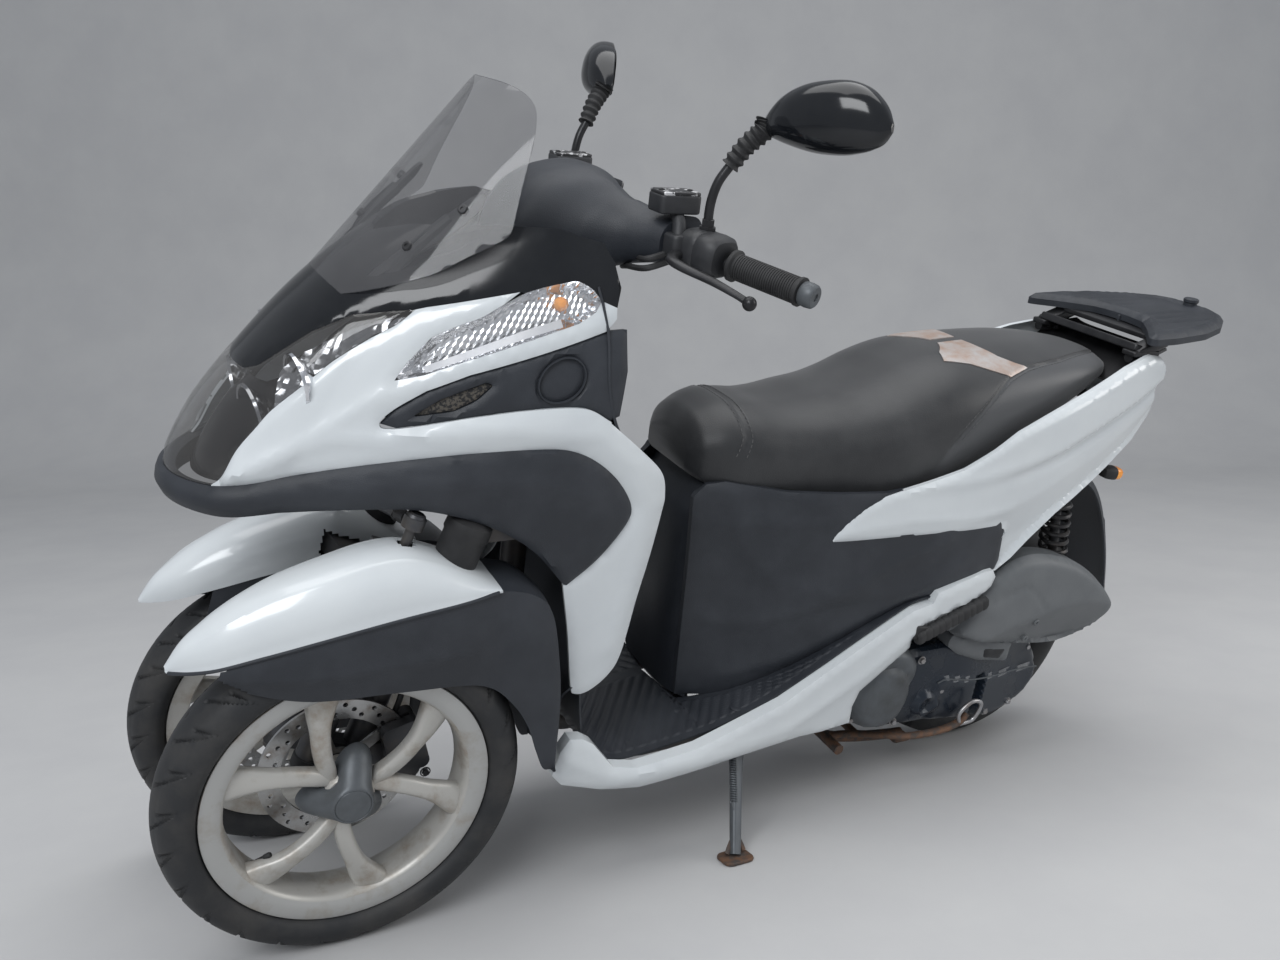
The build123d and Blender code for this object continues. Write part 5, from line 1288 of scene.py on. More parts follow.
half = ((0, 1228), (50, 1226.5), (88, 1220), (116, 1206), (135, 1180), (150, 1146), (166, 1100), (177, 1064),
    (176, 1050), (166, 1030), (150, 1002), (112, 976), (60, 957), (0, 949))
line = smooth_path(half, 90)
outline = np.vstack([line, (line * (-1, 1))[::-1][1:-1]])
screen = Parts()
skin_panel(screen, outline, screen_skin, lift=1.5, edge=1.5, thick=2.2, pitch=9, trim=0.5)
screen.make("windscreen_sheet", "smoke", "smoked_glass", "windscreen")
bracket, screws = Parts(), Parts()
for side in (1, -1):
    line = np.array([(84, 978), (96, 984), (138, 1052), (144, 1084), (138, 1104), (128, 1100), (108, 1046)]) * (side,
        1)
    skin_panel(bracket, line, screen_skin, lift=-5, edge=3, thick=4, pitch=7, corner=5)
    for y, z in ((112, 1030), (133, 1080)):
        p, n = screen_skin(np.array([y * side]), np.array([float(z)]))
        screws.turned([(6.5, -5), (6.5, 2.2), (5, 3.4), (2.6, 3.4), (2.4, 2), (0.1, 2)], p[0], p[0] + n[0], 20)
    arm = [(-70, 96 * side, 990), (-100, 112 * side, 1030), (-140, 118 * side, 1066)]
    bracket.tube(arm, 9, 16, 10)
bracket.make("screen_brackets", "control", "black_plastic")
screws.make("screen_screws", "bar", "bar_steel")

# %% [markdown]
# ## Handlebar, grips and controls
# The cover is one loft across the machine: wide over the meters, waisted, then a sleeve round each bar.
# Everything on the bar rides the handlebar body, so it turns with the steering.

# %% Handlebar cover
COVER_ROWS = ((0, -326, 1050, 92, 74), (40, -327, 1050, 90, 72), (66, -334, 1049, 80, 64), (92, -364, 1047, 56, 50),
    (120, -396, 1049, 40, 37), (150, -416, 1052, 33, 31), (180, -434, 1056, 31, 29))
g = []
for y in np.linspace(-180, 180, 91):
    cx, cz, rx, rz = (float(rows(COVER_ROWS, abs(y), k)) for k in (1, 2, 3, 4))
    q = section(rx, rz, 48, 2.5)
    nose = np.clip(q[:, 0] / rx, -1, 1)
    q[:, 1] -= rz * 0.26 * nose + 0.1 * rz * nose * nose * (rx > 50)
    g.append(cols(cx + q[:, 0], np.full(48, y), cz + q[:, 1]))
cover = Parts().loft(g)
cover.make("handlebar_cover_shell", "dark", "black_plastic", "handlebar_cover", body="handlebar")
face = Parts().table(slab(rounded(34, 62, 18, 8), (-388, 0, 1082), (-0.55, 0, 0.83), (0, 1, 0), 3, 1.2)[:, ::-1],
    close_m=True, cap=True)
face.make("meter_glass", "gloss", "gloss_black", body="handlebar")

# %% Grips, levers, switches and reservoirs
grips, weights, boxes, levers, caps, silver = Parts(), Parts(), Parts(), Parts(), Parts(), Parts()
for side in (1, -1):
    a, b = np.array([-470, side * 258.0, 1040]), np.array([-515, side * 352.0, 1027.5])
    length = np.linalg.norm(b - a)
    ribs = [(11.5, 0), (20.5, 0), (20.8, 5), (17, 7)]
    for s in np.arange(9, length - 7, 3.4):
        ribs += [(17.2, s), (17.2, s + 1.7), (16.2, s + 2.1), (16.2, s + 3.0)]
    ribs += [(18.6, length - 5), (18.8, length - 1), (12, length)]
    grips.turned(ribs, a, b, 48)
    weights.turned([(9, 0), (14.5, 0.4), (15.5, 2), (16, 10), (15.2, 17), (13, 19.5), (5, 20), (4.5, 18), (0.1, 18)],
        b, b + (b - a), 40)
    mid, along = np.array([-449, side * 226.0, 1049]), np.array([-0.33, side * 0.94, -0.09])
    q = section(30, 27, 36, 3.0)
    side_dir, up_dir = frame_at(along)
    g = []
    for s, k in ((-30, 0.8), (-27, 0.95), (-10, 1.0), (-3, 1.0), (-1.6, 0.97), (0, 1.0), (12, 1.02), (24, 0.98),
            (30, 0.82)):
        g.append(mid + unit(along) * s + (q[:, :1] * side_dir + q[:, 1:] * up_dir) * k)
    boxes.loft(g)
    for dz, size in ((9, 6.0), (-8, 7.5)):
        p = mid + np.array([-28, side * 2, dz])
        caps.block(rounded(size, size * 0.7, 2), p, LEFT, UP, 5, 1.2)
    perch = np.array([-428, side * 200.0, 1052])
    boxes.block(rounded(24, 17, 7), perch + (0, 0, -14), AHEAD, LEFT, 30, 5)
    boxes.table(hose((perch + (10, side * 2, 6), (-425, side * 186, 1080), (-425, side * 170, 1094)), 9, 14, 12),
        close_m=True)
    boxes.block(rounded(30, 21, 7), (-425, side * 169, 1090), AHEAD, LEFT, 24, 3)
    silver.block(rounded(29, 20, 6), (-425, side * 169, 1113), AHEAD, LEFT, 5, 1.8)
    for dx in (-21, 21):
        caps.turned([(4, 0), (4, 2.2), (2.2, 2.6), (2, 1.4), (0.1, 1.4)], (-425 + dx, side * 169, 1117),
            (-425 + dx, side * 169, 1118), 14)
    lever = ((-418, side * 208, 1046), (-398, side * 226, 1041), (-400, side * 250, 1036), (-422, side * 292, 1027),
        (-438, side * 326, 1018), (-446, side * 343, 1012))
    levers.tube(lever, (9, 8.5, 7.5, 6.5, 5.6, 5.6), 50, 14, 0.72)
    end = np.array(lever[-1], float)
    levers.turned([(9.2 * sin(t), -9.2 * cos(t)) for t in np.linspace(0.01, pi - 0.01, 14)], end,
        end + (0, side, -0.3), 24)
    for drop in (0, 12):
        cable = (perch + (6, -side * 10, -8 - drop), perch + (44, -side * 14, -20 - drop),
            (-398 + drop, side * 128, 1022 - drop), (-402, side * 84, 1012 - drop))
        caps.tube(cable, 4.2, 40, 10)
grips.make("grip_rubbers", "rubber", "grip_rubber", "grips", body="handlebar", sharp=30)
weights.make("bar_end_weights", "crank", "bar_steel", body="handlebar")
boxes.make("switch_boxes", "control", "control_plastic", "controls", body="handlebar")
levers.make("brake_levers", "bar", "bar_steel", body="handlebar")
caps.make("switches_and_cables", "rubber", "control_plastic", body="handlebar")
silver.make("reservoir_lids", "lid", "control_plastic", body="handlebar")

# %% [markdown]
# ## Mirrors
# Each housing is a teardrop: its outline grows from the neck, is tallest past the middle, then closes to a
# rounded tip, and its back is a shallow dome. A ribbed boot covers the joint on the stem.

# %% Mirrors
shells, glasses, stems, boots = Parts(), Parts(), Parts(), Parts()
for side in (1, -1):
    o = np.array([-542, side * 312.0, 1230])
    ex, en = unit((-0.36, side * 0.92, 0.12)), np.array([-0.93, -side * 0.34, -0.12])
    en = unit(en - ex * (en @ ex))
    ez = np.cross(en, ex) * side
    ez *= np.sign(ez[2])
    u = -90 + 180 * (0.5 - 0.5 * np.cos(np.linspace(0.06, np.pi - 0.06, 56)))
    half = rows(((-91, 6), (-84, 12), (-64, 25), (-30, 38), (5, 43), (40, 41), (66, 31), (80, 20), (91, 3)), u, 1)
    middle = rows(((-91, -10), (-60, -2), (0, 1), (60, -2), (91, -10)), u, 1)
    deep = rows(((-91, 8), (-70, 24), (-35, 38), (10, 40), (50, 31), (78, 16), (91, 3)), u, 1)
    t = circle(56)
    s, c = np.sin(t), np.cos(t)
    g = []
    for k in range(len(u)):
        h = middle[k] + half[k] * np.sign(c) * np.abs(c) ** 0.85
        n = np.where(s < 0, 7 * np.minimum(1, deep[k] / 12) * np.abs(s) ** 0.35, -deep[k] * np.abs(s) ** 0.8)
        g.append(o + u[k] * ex + h[:, None] * ez + n[:, None] * en)
    g = np.stack(g)
    shells.table(g if side > 0 else g[:, ::-1], close_m=True, cap=True)
    ring = np.vstack([np.c_[u[4:-4], (middle + half * 0.86)[4:-4]],
        np.c_[u[4:-4], (middle - half * 0.86)[4:-4]][::-1]])
    pts, f = fill(resample(ring * 0.97, 6), 12)
    q = o + pts[:, :1] * ex + pts[:, 1:] * ez + 7.8 * en
    glasses.add(q, facing(q, f, en))
    neck = o - 84 * ex - 6 * ez - 6 * en
    foot = np.array([-470, side * 220.0, 1158])
    stems.tube(((-452, side * 214, 1070), (-452, side * 214, 1108), (-458, side * 216, 1136), foot), 6.2, 30, 14)
    stems.turned([(12, 0), (12, 8), (9, 9), (9, 17), (7, 18)], (-452, side * 214, 1072), (-452, side * 214, 1100), 6)
    line = smooth_path((foot, (-484, side * 229, 1184), (-500, side * 238, 1204), neck), 60)
    wave = 11 + 3.5 * np.linspace(0, 1, 60) + 1.6 * np.cos(np.linspace(0, 9 * 2 * np.pi, 60))
    boots.tube(line, wave, 60, 20)
shells.make("mirror_housings", "gloss", "gloss_black", "mirrors", body="handlebar")
glasses.make("mirror_glasses", "mirror_glass", "lamp_silver", body="handlebar")
stems.make("mirror_stems", "bar", "bar_steel", body="handlebar")
boots.make("mirror_boots", "rubber", "grip_rubber", body="handlebar")

# %% [markdown]
# ## Engine side
# Castings are outlines with a rounded rim and crowned a little, as they come from a mould.
# Bolts sit where two castings join. The airbox is plastic, so it is rounder, with a fold and two screws.

# %% Drive case, airbox and covers
def flat_skin(y0):
    """An upright plane at y0."""
    def surface(x, z):
        zero = 0 * x
        return cols(x, y0 + zero, z), cols(zero, 1 + zero, zero)
    return surface


def bolt(parts, at, along, r=6.0, h=5.0):
    """A hexagon head on a washer, its top edge broken."""
    at, along = np.asarray(at, float), unit(along)
    parts.turned([(r * 1.45, 0), (r * 1.45, 1.2), (r * 1.1, 1.4)], at, at + along, 20)
    parts.turned([(r, 0), (r, h - 1), (r * 0.86, h), (0.1, h)], at, at + along, 6)


def coil(parts, start, end, radius, wire, turns, per=14):
    """A spring: a circle that climbs along the line from start to end."""
    a, b = np.asarray(start, float), np.asarray(end, float)
    side, up = frame_at(b - a)
    s = np.linspace(0, 1, turns * per)
    t = 2 * np.pi * turns * s
    line = a + (b - a) * s[:, None] + radius * (np.cos(t)[:, None] * side + np.sin(t)[:, None] * up)
    parts.tube(line, wire, len(s), 8)


def case_skin(x, z):
    """The case narrows toward the axle: y eases from 166 to 130."""
    p = cols(x, 166 - 36 * step(-x, 1130, 1370), z)
    slope = -36 * (step(-x - 2, 1130, 1370) - step(-x + 2, 1130, 1370)) / 4
    return p, cols(slope, 1 + 0 * x, 0 * x)


CASE = ((-903, 240), (-908, 270), (-935, 300), (-985, 318), (-1060, 322), (-1150, 322), (-1240, 318), (-1310, 300),
    (-1362, 268), (-1388, 222), (-1387, 178), (-1362, 146), (-1325, 129), (-1270, 125), (-1215, 138), (-1180, 150),
    (-1097, 162), (-1030, 165), (-960, 172), (-915, 196))
CRANK = ((-882, 240), (-880, 262), (-884, 284), (-898, 300), (-921, 314), (-945, 326), (-969, 334), (-991, 334),
    (-1016, 322), (-1035, 303), (-1037, 280), (-1028, 250), (-1022, 224), (-1013, 196), (-999, 178), (-975, 169),
    (-937, 176), (-904, 198))
SEAM = ((-1085, 250), (-1108, 254), (-1170, 240), (-1262, 224), (-1380, 212))


def case_relief(x, z):
    """Below the seam the covers stand proud, with a slot between them; a ringed boss sits at the front."""
    low = (1 - step(z - np.interp(-x, [1085, 1108, 1170, 1262, 1380], [250, 254, 240, 224, 212]), -2, 4)) * step(-x,
        1078, 1090)
    slot_at = step(-x, 1188, 1196) * (1 - step(-x, 1214, 1222)) * low
    r = np.hypot(x + 1065, z - 208)
    return 8 * low - 17 * slot_at + 12 * (1 - step(r, 20, 30)) - 8 * (1 - step(r, 9, 14))


case = Parts()
skin_panel(case, CASE, case_skin, lift=0, edge=13, crown=5, thick=90, pitch=6.5, corner=14, trim=0.9,
    relief=case_relief)
case.make("drive_case_cover", "drive", "drive_paint", "drive_case")
line = smooth_path(SEAM, 48)
seam = Parts().tube(np.c_[line[:, 0], case_skin(line[:, 0], line[:, 1])[0][:, 1] + 9, line[:, 1]], 1.6, 60, 8)
seam.make("case_seam", "crank", "engine_alloy")


def crank_relief(x, z):
    r = np.hypot(x + 959, z - 241)
    return 6 * (1 - step(r, 50, 62)) - 2.5 * np.exp(-((r - 64) / 4) ** 2)


cover = Parts()
skin_panel(cover, CRANK, flat_skin(172), lift=2, edge=20, crown=9, thick=30, pitch=6.5, corner=16, trim=0.95,
    relief=crank_relief)
cover.turned([(60, -152), (60, -164), (54, -170), (20, -172), (0.1, -172)], (-970, 0, 250), (-970, 1, 250), 60)
cover.make("crank_covers", "crank", "engine_alloy")
bolts = Parts()
for x, z, y in ((-1036, 306, 172), (-1098, 232, 172), (-1165, 168, 170), (-1245, 146, 156), (-1318, 146, 143),
        (-1366, 196, 132), (-1352, 256, 128), (-1300, 288, 134), (-1215, 304, 152), (-906, 200, 160),
        (-1002, 180, 168)):
    bolt(bolts, (x, y, z), (0, 1, 0), 5.5, 6)
bolts.make("case_bolts", "steel", "shock_steel")

AIRBOX = ((-1088, 356), (-1101, 378), (-1122, 410), (-1150, 444), (-1174, 468), (-1215, 486), (-1269, 489),
    (-1346, 470), (-1409, 438), (-1461, 397), (-1486, 358), (-1474, 324), (-1431, 300), (-1355, 290), (-1246, 306),
    (-1168, 322), (-1110, 343))
FOLD = ((-1088, 322), (-1152, 338), (-1199, 357), (-1268, 373), (-1316, 382), (-1365, 388), (-1420, 381),
    (-1490, 364))
outline = smooth_path(AIRBOX + AIRBOX[:1], 120)[:-1]
panel_line = side_crease(((-1150, 414), (-1190, 426), (-1231, 440), (-1261, 416), (-1285, 388)), -3.0, 3.4)


def box_relief(x, z):
    """Two faces meet at a fold: the upper leans in gently, the lower turns under."""
    over = z - rows(FOLD, x, 1)
    return 11 - 0.1 * np.sqrt(np.clip(over, 0, 200) ** 2 + 16) - 0.34 * np.clip(-over, 0, 90) + panel_line(x, z)


box = Parts()
skin_panel(box, outline, flat_skin(184), lift=4, edge=20, crown=7, thick=30, pitch=6.5, trim=0.85, relief=box_relief)
for x, z, y in ((-1271, 362, 197), (-1267, 322, 184)):
    box.turned([(6.5, 0), (6.5, 6), (5.5, 7), (3, 7), (2.6, 5), (0.1, 5)], (x, y, z), (x, y + 1, z - 0.1), 20)
skin_panel(box, np.array(((-1092, 325), (-1101, 347), (-1180, 330), (-1256, 310), (-1253, 266), (-1176, 281),
    (-1121, 303)), float), flat_skin(170), lift=6, edge=8, crown=2, thick=30, pitch=8, corner=8)
box.tube(((-1110, 160, 372), (-1040, 145, 376), (-985, 90, 378), (-980, 30, 380)), (20, 23, 23, 22), 40, 20)
box.make("airbox_shell", "grey", "grey_plastic", "airbox")
window = Parts()
skin_panel(window, np.array(((-1179, 308), (-1237, 297), (-1227, 279), (-1184, 288)), float), flat_skin(174),
    lift=4.5, edge=3, thick=4, pitch=6, corner=5)
window.make("airbox_window", "gloss", "gloss_black")

# %% Exhaust, shocks and rear guard
pipe = Parts()
o, d = np.array([-1110, -190, 222.0]), unit((-0.97, -0.04, 0.24))
x_dir, _ = frame_at(d)
up = np.cross(d, x_dir) * -1
g = []
for s, wide, tall in ((-8, 14, 18), (-2, 27, 34), (14, 40, 50), (42, 47, 59), (60, 48, 60), (62, 49.5, 61.5),
        (70, 49.5, 61.5), (72, 48, 60), (330, 49, 62), (332, 50.5, 63.5), (342, 50.5, 63.5), (344, 49, 62),
        (372, 46, 58), (396, 36, 46), (402, 26, 33)):
    q = section(wide, tall, 48, 2.2)
    g.append(o + s * d + q[:, :1] * x_dir + q[:, 1:] * up)
pipe.loft(g)
pipe.tube(((-715, -20, 196), (-735, -36, 160), (-800, -84, 142), (-900, -122, 133), (-1010, -170, 142),
    (-1068, -188, 176), (-1112, -190, 222)), 17, 70, 24)
pipe.turned([(20, 0), (20, 62), (16, 62), (16, 10)], o + 396 * d, o + 397 * d, 32)
pipe.make("exhaust_body", "pipe", "exhaust_paint", "exhaust")
guard = Parts()
g = []
for s in np.linspace(84, 318, 40):
    a = np.linspace(-1.05, 1.05, 24)
    swell = 3 + 3 * sin(pi * (s - 84) / 234)
    slot_cut = 1.8 * ((s % 42) < 14) * (np.abs(a) < 0.55)
    ring = cols(-(49 + swell - slot_cut) * np.cos(a), (62 + swell - slot_cut) * np.sin(a))
    g.append(o + s * d + ring[:, :1] * -x_dir * np.sign(x_dir[1]) + ring[:, 1:] * up)
shell(guard, np.stack(g), 1.8)
guard.make("exhaust_guard", "drive", "drive_paint")

springs, dampers = Parts(), Parts()
for y, low in ((128, 346), (-112, 296)):
    a, b = np.array([-1378.0, y, low]), np.array([-1318.0, y, 640])
    d, n = unit(b - a), np.linalg.norm(b - a)
    coil(springs, a + d * (n - 215), a + d * (n - 62), 24, 4.3, 8)
    dampers.turned([(0.1, 0), (11, 0), (13, 8), (13, n - 190), (9, n - 188), (9, n - 60), (15, n - 58), (24, n - 56),
        (27, n - 50), (27, n - 22), (20, n - 14), (12, n - 12), (12, n)], a, b, 28)
    dampers.turned([(27.5, n - 220), (28, n - 212), (25, n - 209), (14, n - 209), (14, n - 222), (24, n - 222)], a, b,
        28)
    for end in (a, b):
        dampers.turned([(6, -15), (14, -15), (15, -13), (15, 13), (14, 15), (6, 15)], end, end + (0, 1, 0), 28)
springs.make("shock_springs", "spring", "shock_steel")
dampers.make("shock_dampers", "frame", "shock_steel", "rear_shocks")

GUARD = ((-1140, 505), (-1290, 548), (-1370, 572), (-1440, 583), (-1482, 572), (-1522, 530), (-1558, 468),
    (-1594, 390), (-1622, 306))
path = smooth_path(GUARD, 90)
normal = square_to(path)
y = np.linspace(-1, 1, 33)
wide = np.interp(-path[:, 0], [1140, 1290, 1440, 1560, 1640], [58, 68, 76, 74, 66])
drop = 4 * (1 - y ** 2)[None] - 12 * step(np.abs(y), 0.86, 1.0)[None]
g = np.zeros((90, 33, 3))
g[..., 0] = path[:, :1] + normal[:, :1] * drop
g[..., 2] = path[:, 1:] + normal[:, 1:] * drop
g[..., 1] = wide[:, None] * y
mud = Parts()
shell(mud, g, 3.5)
mud.block(rounded(60, 32, 8), (-1578, 0, 452), (0, 1, 0), (0.38, 0, 0.92), 4, 1.5)
for side in (1, -1):
    mud.tube(((-1440, 60 * side, 572), (-1456, 84 * side, 640), (-1470, 100 * side, 700)), 8, 16, 10)
mud.make("rear_guard_shell", "dark", "black_plastic", "rear_mudguard")

# %% [markdown]
# ## Tail lamp, carrier and pegs
# The tail closes with a red lens over ribs and two small lamps on rubber stalks. The carrier is a thick moulded
# plate on steel tubes, with a raised rim, long grooves and the knob of its lock at the rear.

# %% Tail lamp and rear turn lamps
red, stalks, clear = Parts(), Parts(), Parts()
g = []
for z in np.linspace(736, 804, 18):
    y = np.linspace(1, -1, 41)
    bow = 22 * (1 - np.abs(y) ** 2.4) * sin(pi * np.clip((z - 722) / 96, 0,
        1)) + 1.6 * (np.abs((y * 12) % 1 - 0.5) < 0.2)
    g.append(cols(-1524 - bow, 92 * y * (0.84 + 0.16 * (z - 736) / 68), z + 0 * y))
shell(red, np.stack(g), 3)
for side in (1, -1):
    a, b = np.array([-1456, side * 84.0, 622]), np.array([-1468, side * 112.0, 614])
    wave = 8.5 + 0.9 * np.cos(np.linspace(0, 12 * np.pi, 40))
    stalks.tube((a, b), wave, 40, 14)
    q = section(16, 13, 32, 2.6)
    along = np.array([-0.97, side * 0.1, -0.1])
    sd, ud = frame_at(along)
    for parts, steps in ((stalks, ((-26, 0.35), (-22, 0.72), (-12, 0.94), (0, 1.0), (3, 1.0))),
            (clear, ((3, 0.97), (14, 0.93), (20, 0.72), (23, 0.35)))):
        body = b + (0, side * 8, -2)
        parts.table(np.stack([body + along * s + (q[:, :1] * sd + q[:, 1:] * ud) * k for s, k in steps]),
            close_m=True, cap=True)
red.make("tail_lamp_lens", "red", "lamp_red", "rear_lamps")
stalks.make("rear_turn_lamp_bodies", "rubber", "black_plastic")
clear.make("rear_turn_lamp_lenses", "amber", "lamp_red")

# %% Carrier plate and rack
PLATE = ((-1528, 20), (-1520, 60), (-1478, 108), (-1446, 138), (-1438, 150), (-1446, 159), (-1500, 159), (-1590, 148),
    (-1668, 119), (-1718, 84), (-1738, 44))
outline = np.vstack([PLATE, np.array(PLATE)[::-1] * (1, -1)])


def plate_skin(x, y):
    bow = 3 * np.cos(np.pi * y / 340) - 0.03 * (x + 1584)
    return cols(x, y, 884 + bow), cols(0 * x, 0 * x, 1 + 0 * x)


def plate_relief(x, y):
    edge = distance_to(cols(x, y), outline)
    slots = sum(-2.4 * np.exp(-((np.abs(y) - k) / 3.0) ** 2) for k in (34, 62, 90)) * step(-x, 1490, 1510) * step(x,
        -1668, -1650)
    return 5.0 * np.exp(-((edge - 16) / 7) ** 2) + slots


plate = Parts()
skin_panel(plate, outline, plate_skin, lift=10, edge=8, thick=12, pitch=7, corner=10, relief=plate_relief, trim=0.8)
pts, f = fill(resample(outline * 0.97 + (-1590 * 0.03, 0), 12), 16)
plate.add(np.c_[pts, np.full(len(pts), 884.0)], [t[::-1] for t in f])
for k in (-60, 0, 60):
    plate.block(rounded(96, 3, 2), (-1620, k, 872), AHEAD, LEFT, 14, 1)
plate.turned([(17, -6), (16, 4), (12.5, 8), (12.5, 15), (14.5, 17), (14.5, 22), (12, 24), (0.1, 24.5)],
    (-1722, 0, 892), (-1722, 0, 893), 32)
plate.make("carrier_plate", "dark", "black_plastic", "top_plate")
rack = Parts()
for side in (1, -1):
    rack.tube(((-1440, side * 112, 838), (-1474, side * 112, 838), (-1492, side * 112, 860), (-1540, side * 110, 870),
        (-1600, side * 104, 872), (-1640, side * 78, 872), (-1644, side * 10, 872)), 9.5, 60, 16)
    rack.block(rounded(34, 16, 5), (-1470, side * 112, 842), AHEAD, LEFT, 9, 2)
    for x in (-1486, -1454):
        bolt(rack, (x, side * 112, 850), (0, 0, 1), 5.5, 5)
rack.block(rounded(36, 108, 8), (-1526, 0, 866), AHEAD, LEFT, 9, 2)
rack.block(rounded(20, 120, 8), (-1462, 0, 846), (1, 0, 0.3), (0, 1, 0), 14, 4)
tray_line = smooth_path(((-1424, 790), (-1450, 806), (-1480, 828), (-1500, 838), (-1540, 846)), 24)
y = np.linspace(1, -1, 21)
wide = np.interp(-tray_line[:, 0], [1424, 1470, 1540], [128, 128, 110])
g = cols(np.repeat(tray_line[:, :1], 21, 1), wide[:, None] * y, tray_line[:, 1:] + 6 * np.abs(y) ** 8 + 0
    * wide[:, None])
shell(rack, g, 5)
for side in (1, -1):
    rack.block(rounded(40, 15, 6), (-1490, side * 112, 848), (1, 0, -0.35), (0, 1, 0), 20, 6)
    bolt(rack, (-1470, side * 92, 838), (0.3, 0, 1), 6, 5)
rack.make("rack_tubes", "bar", "bar_steel", "rack")

# %% Pegs and stands
pegs = Parts()
for side in (1, -1):
    a, b = np.array([-966, side * 217.0, 387]), np.array([-1114, side * 214.0, 436])
    n = np.linalg.norm(b - a)
    g = []
    for s in np.linspace(0, n, 74):
        wave = 1 - 0.1 * ((s % 14) < 3.4) * (10 < s < n - 10)
        q = section(12.5, 9.5, 24, 3.0) * (wave if 3 < s < n - 3 else 0.82)
        g.append(a + (b - a) * s / n + q[:, :1] * np.array([0.24, 0, 0.97]) + q[:, 1:] * np.array([0, 1, 0]))
    pegs.loft(g)
    pegs.block(rounded(14, 12, 6), (-972, side * 208, 384), (1, 0, 0.2), (0, 1, 0), 26, 4)
pegs.make("passenger_pegs", "rubber", "grip_rubber", "pegs")

sine, cosine = sin(LEAN), cos(LEAN)
pivot = np.array([-664.0, 160.0, 222.0])
FOOT_OUT = 280
foot = np.array([-610, FOOT_OUT * cosine + TREAD * sine, TREAD + FOOT_OUT * sine - TREAD * cosine])
up = np.array([0, -sine, cosine])
run, reach = unit(foot + up * 8 - pivot), np.linalg.norm(foot + up * 8 - pivot)
across = unit(np.cross(run, (0, 1, 0)))
thin = np.cross(across, run)
g = []
for s in np.linspace(-14, reach, 26):
    q = section(np.interp(s, [-14, 0, 24, 60, reach], [7, 14, 15, 10.5, 9]),
        np.interp(s, [-14, 20, reach], [6, 8, 7]), 24, 3.2)
    g.append(pivot + run * s + q[:, :1] * across + q[:, 1:] * thin)
leg = Parts().loft(g)
leg.turned([(6.1, -11), (15, -11), (15, 11), (6.1, 11)], pivot, pivot + thin, 28)
leg.make("side_stand_leg", "crank", "shock_steel", "side_stand", body="side_stand")
sole = Parts()
q = rounded(27, 22, 13)
sole.block(q, foot, (1, 0, 0), np.cross(up, (1, 0, 0)), 6, 2)
g = [foot + up * 4 + np.array([-16 + 32 * s, 0, 0]) + run * -1 * (8 + 26 * sin(pi * s)) * 0.9
    for s in np.linspace(0, 1, 17)]
sole.tube(g, 4.2, 30, 10, 0.6)
sole.make("side_stand_foot", "rust", "shock_steel", body="side_stand")
spring = Parts()
side_line = pivot + across * 13 + thin * 5
coil(spring, side_line + run * 28, side_line + run * 112 - across * 4, 5.2, 1.5, 22, 10)
for s, e in ((8, 28), (112, 124)):
    spring.tube((side_line + run * s, side_line + run * e - across * (4 if s > 50 else 0)), 1.5, 6, 8)
spring.make("side_stand_spring", "crank", "shock_steel", body="side_stand")

loops = Parts()
for side in (1, -1):
    loops.tube(((-905, side * 84, 128), (-932, side * 84, 110), (-990, side * 88, 98), (-1060, side * 98, 95),
        (-1092, side * 104, 96)), 10, 44, 16)
    loops.block(rounded(20, 13, 6), (-1090, side * 104, 82), AHEAD, LEFT, 8, 2)
loops.tube(((-905, -92, 128), (-905, 150, 128)), 10, 8, 20)
loops.tube(((-1000, -88, 98), (-1000, 88, 98)), 8, 8, 16)
loops.tube(((-930, 86, 112), (-965, 100, 118), (-1000, 140, 134), (-1030, 176, 148), (-1064, 188, 153),
    (-1112, 190, 155), (-1146, 190, 164), (-1160, 190, 180)), 8, 60, 16, 0.75)
loops.make("centre_stand_tubes", "rust", "exhaust_paint", "centre_stand", body="centre_stand")
loop = Parts().table(hose(((-1146, 192, 160), (-1136, 196, 188), (-1160, 198, 210), (-1184, 198, 200),
    (-1176, 194, 166), (-1146, 192, 160)), 4.2, 60, 12), close_m=True)
coil(loop, (-920, 70, 150), (-1010, 60, 118), 9, 2.2, 16, 10)
loop.make("centre_stand_lever_loop", "steel", "shock_steel", body="centre_stand")

# %% [markdown]
# ## Steering link and fork details
# Between the two wheels the link shows: bellows over the tie rod's ends, covers round the kingpins, bolts at the
# arm pins, seals on the fork legs and the calipers with their hoses.

# %% Link, kingpin covers and fork details
def on_axis(s, ahead=0.0, across=0.0):
    """The point at height s along the steering axis of a front wheel, a distance ahead of it."""
    return np.array([TRAIL - s * sin(CASTER) + ahead * cos(CASTER), across, s * cos(CASTER) + ahead * sin(CASTER)])


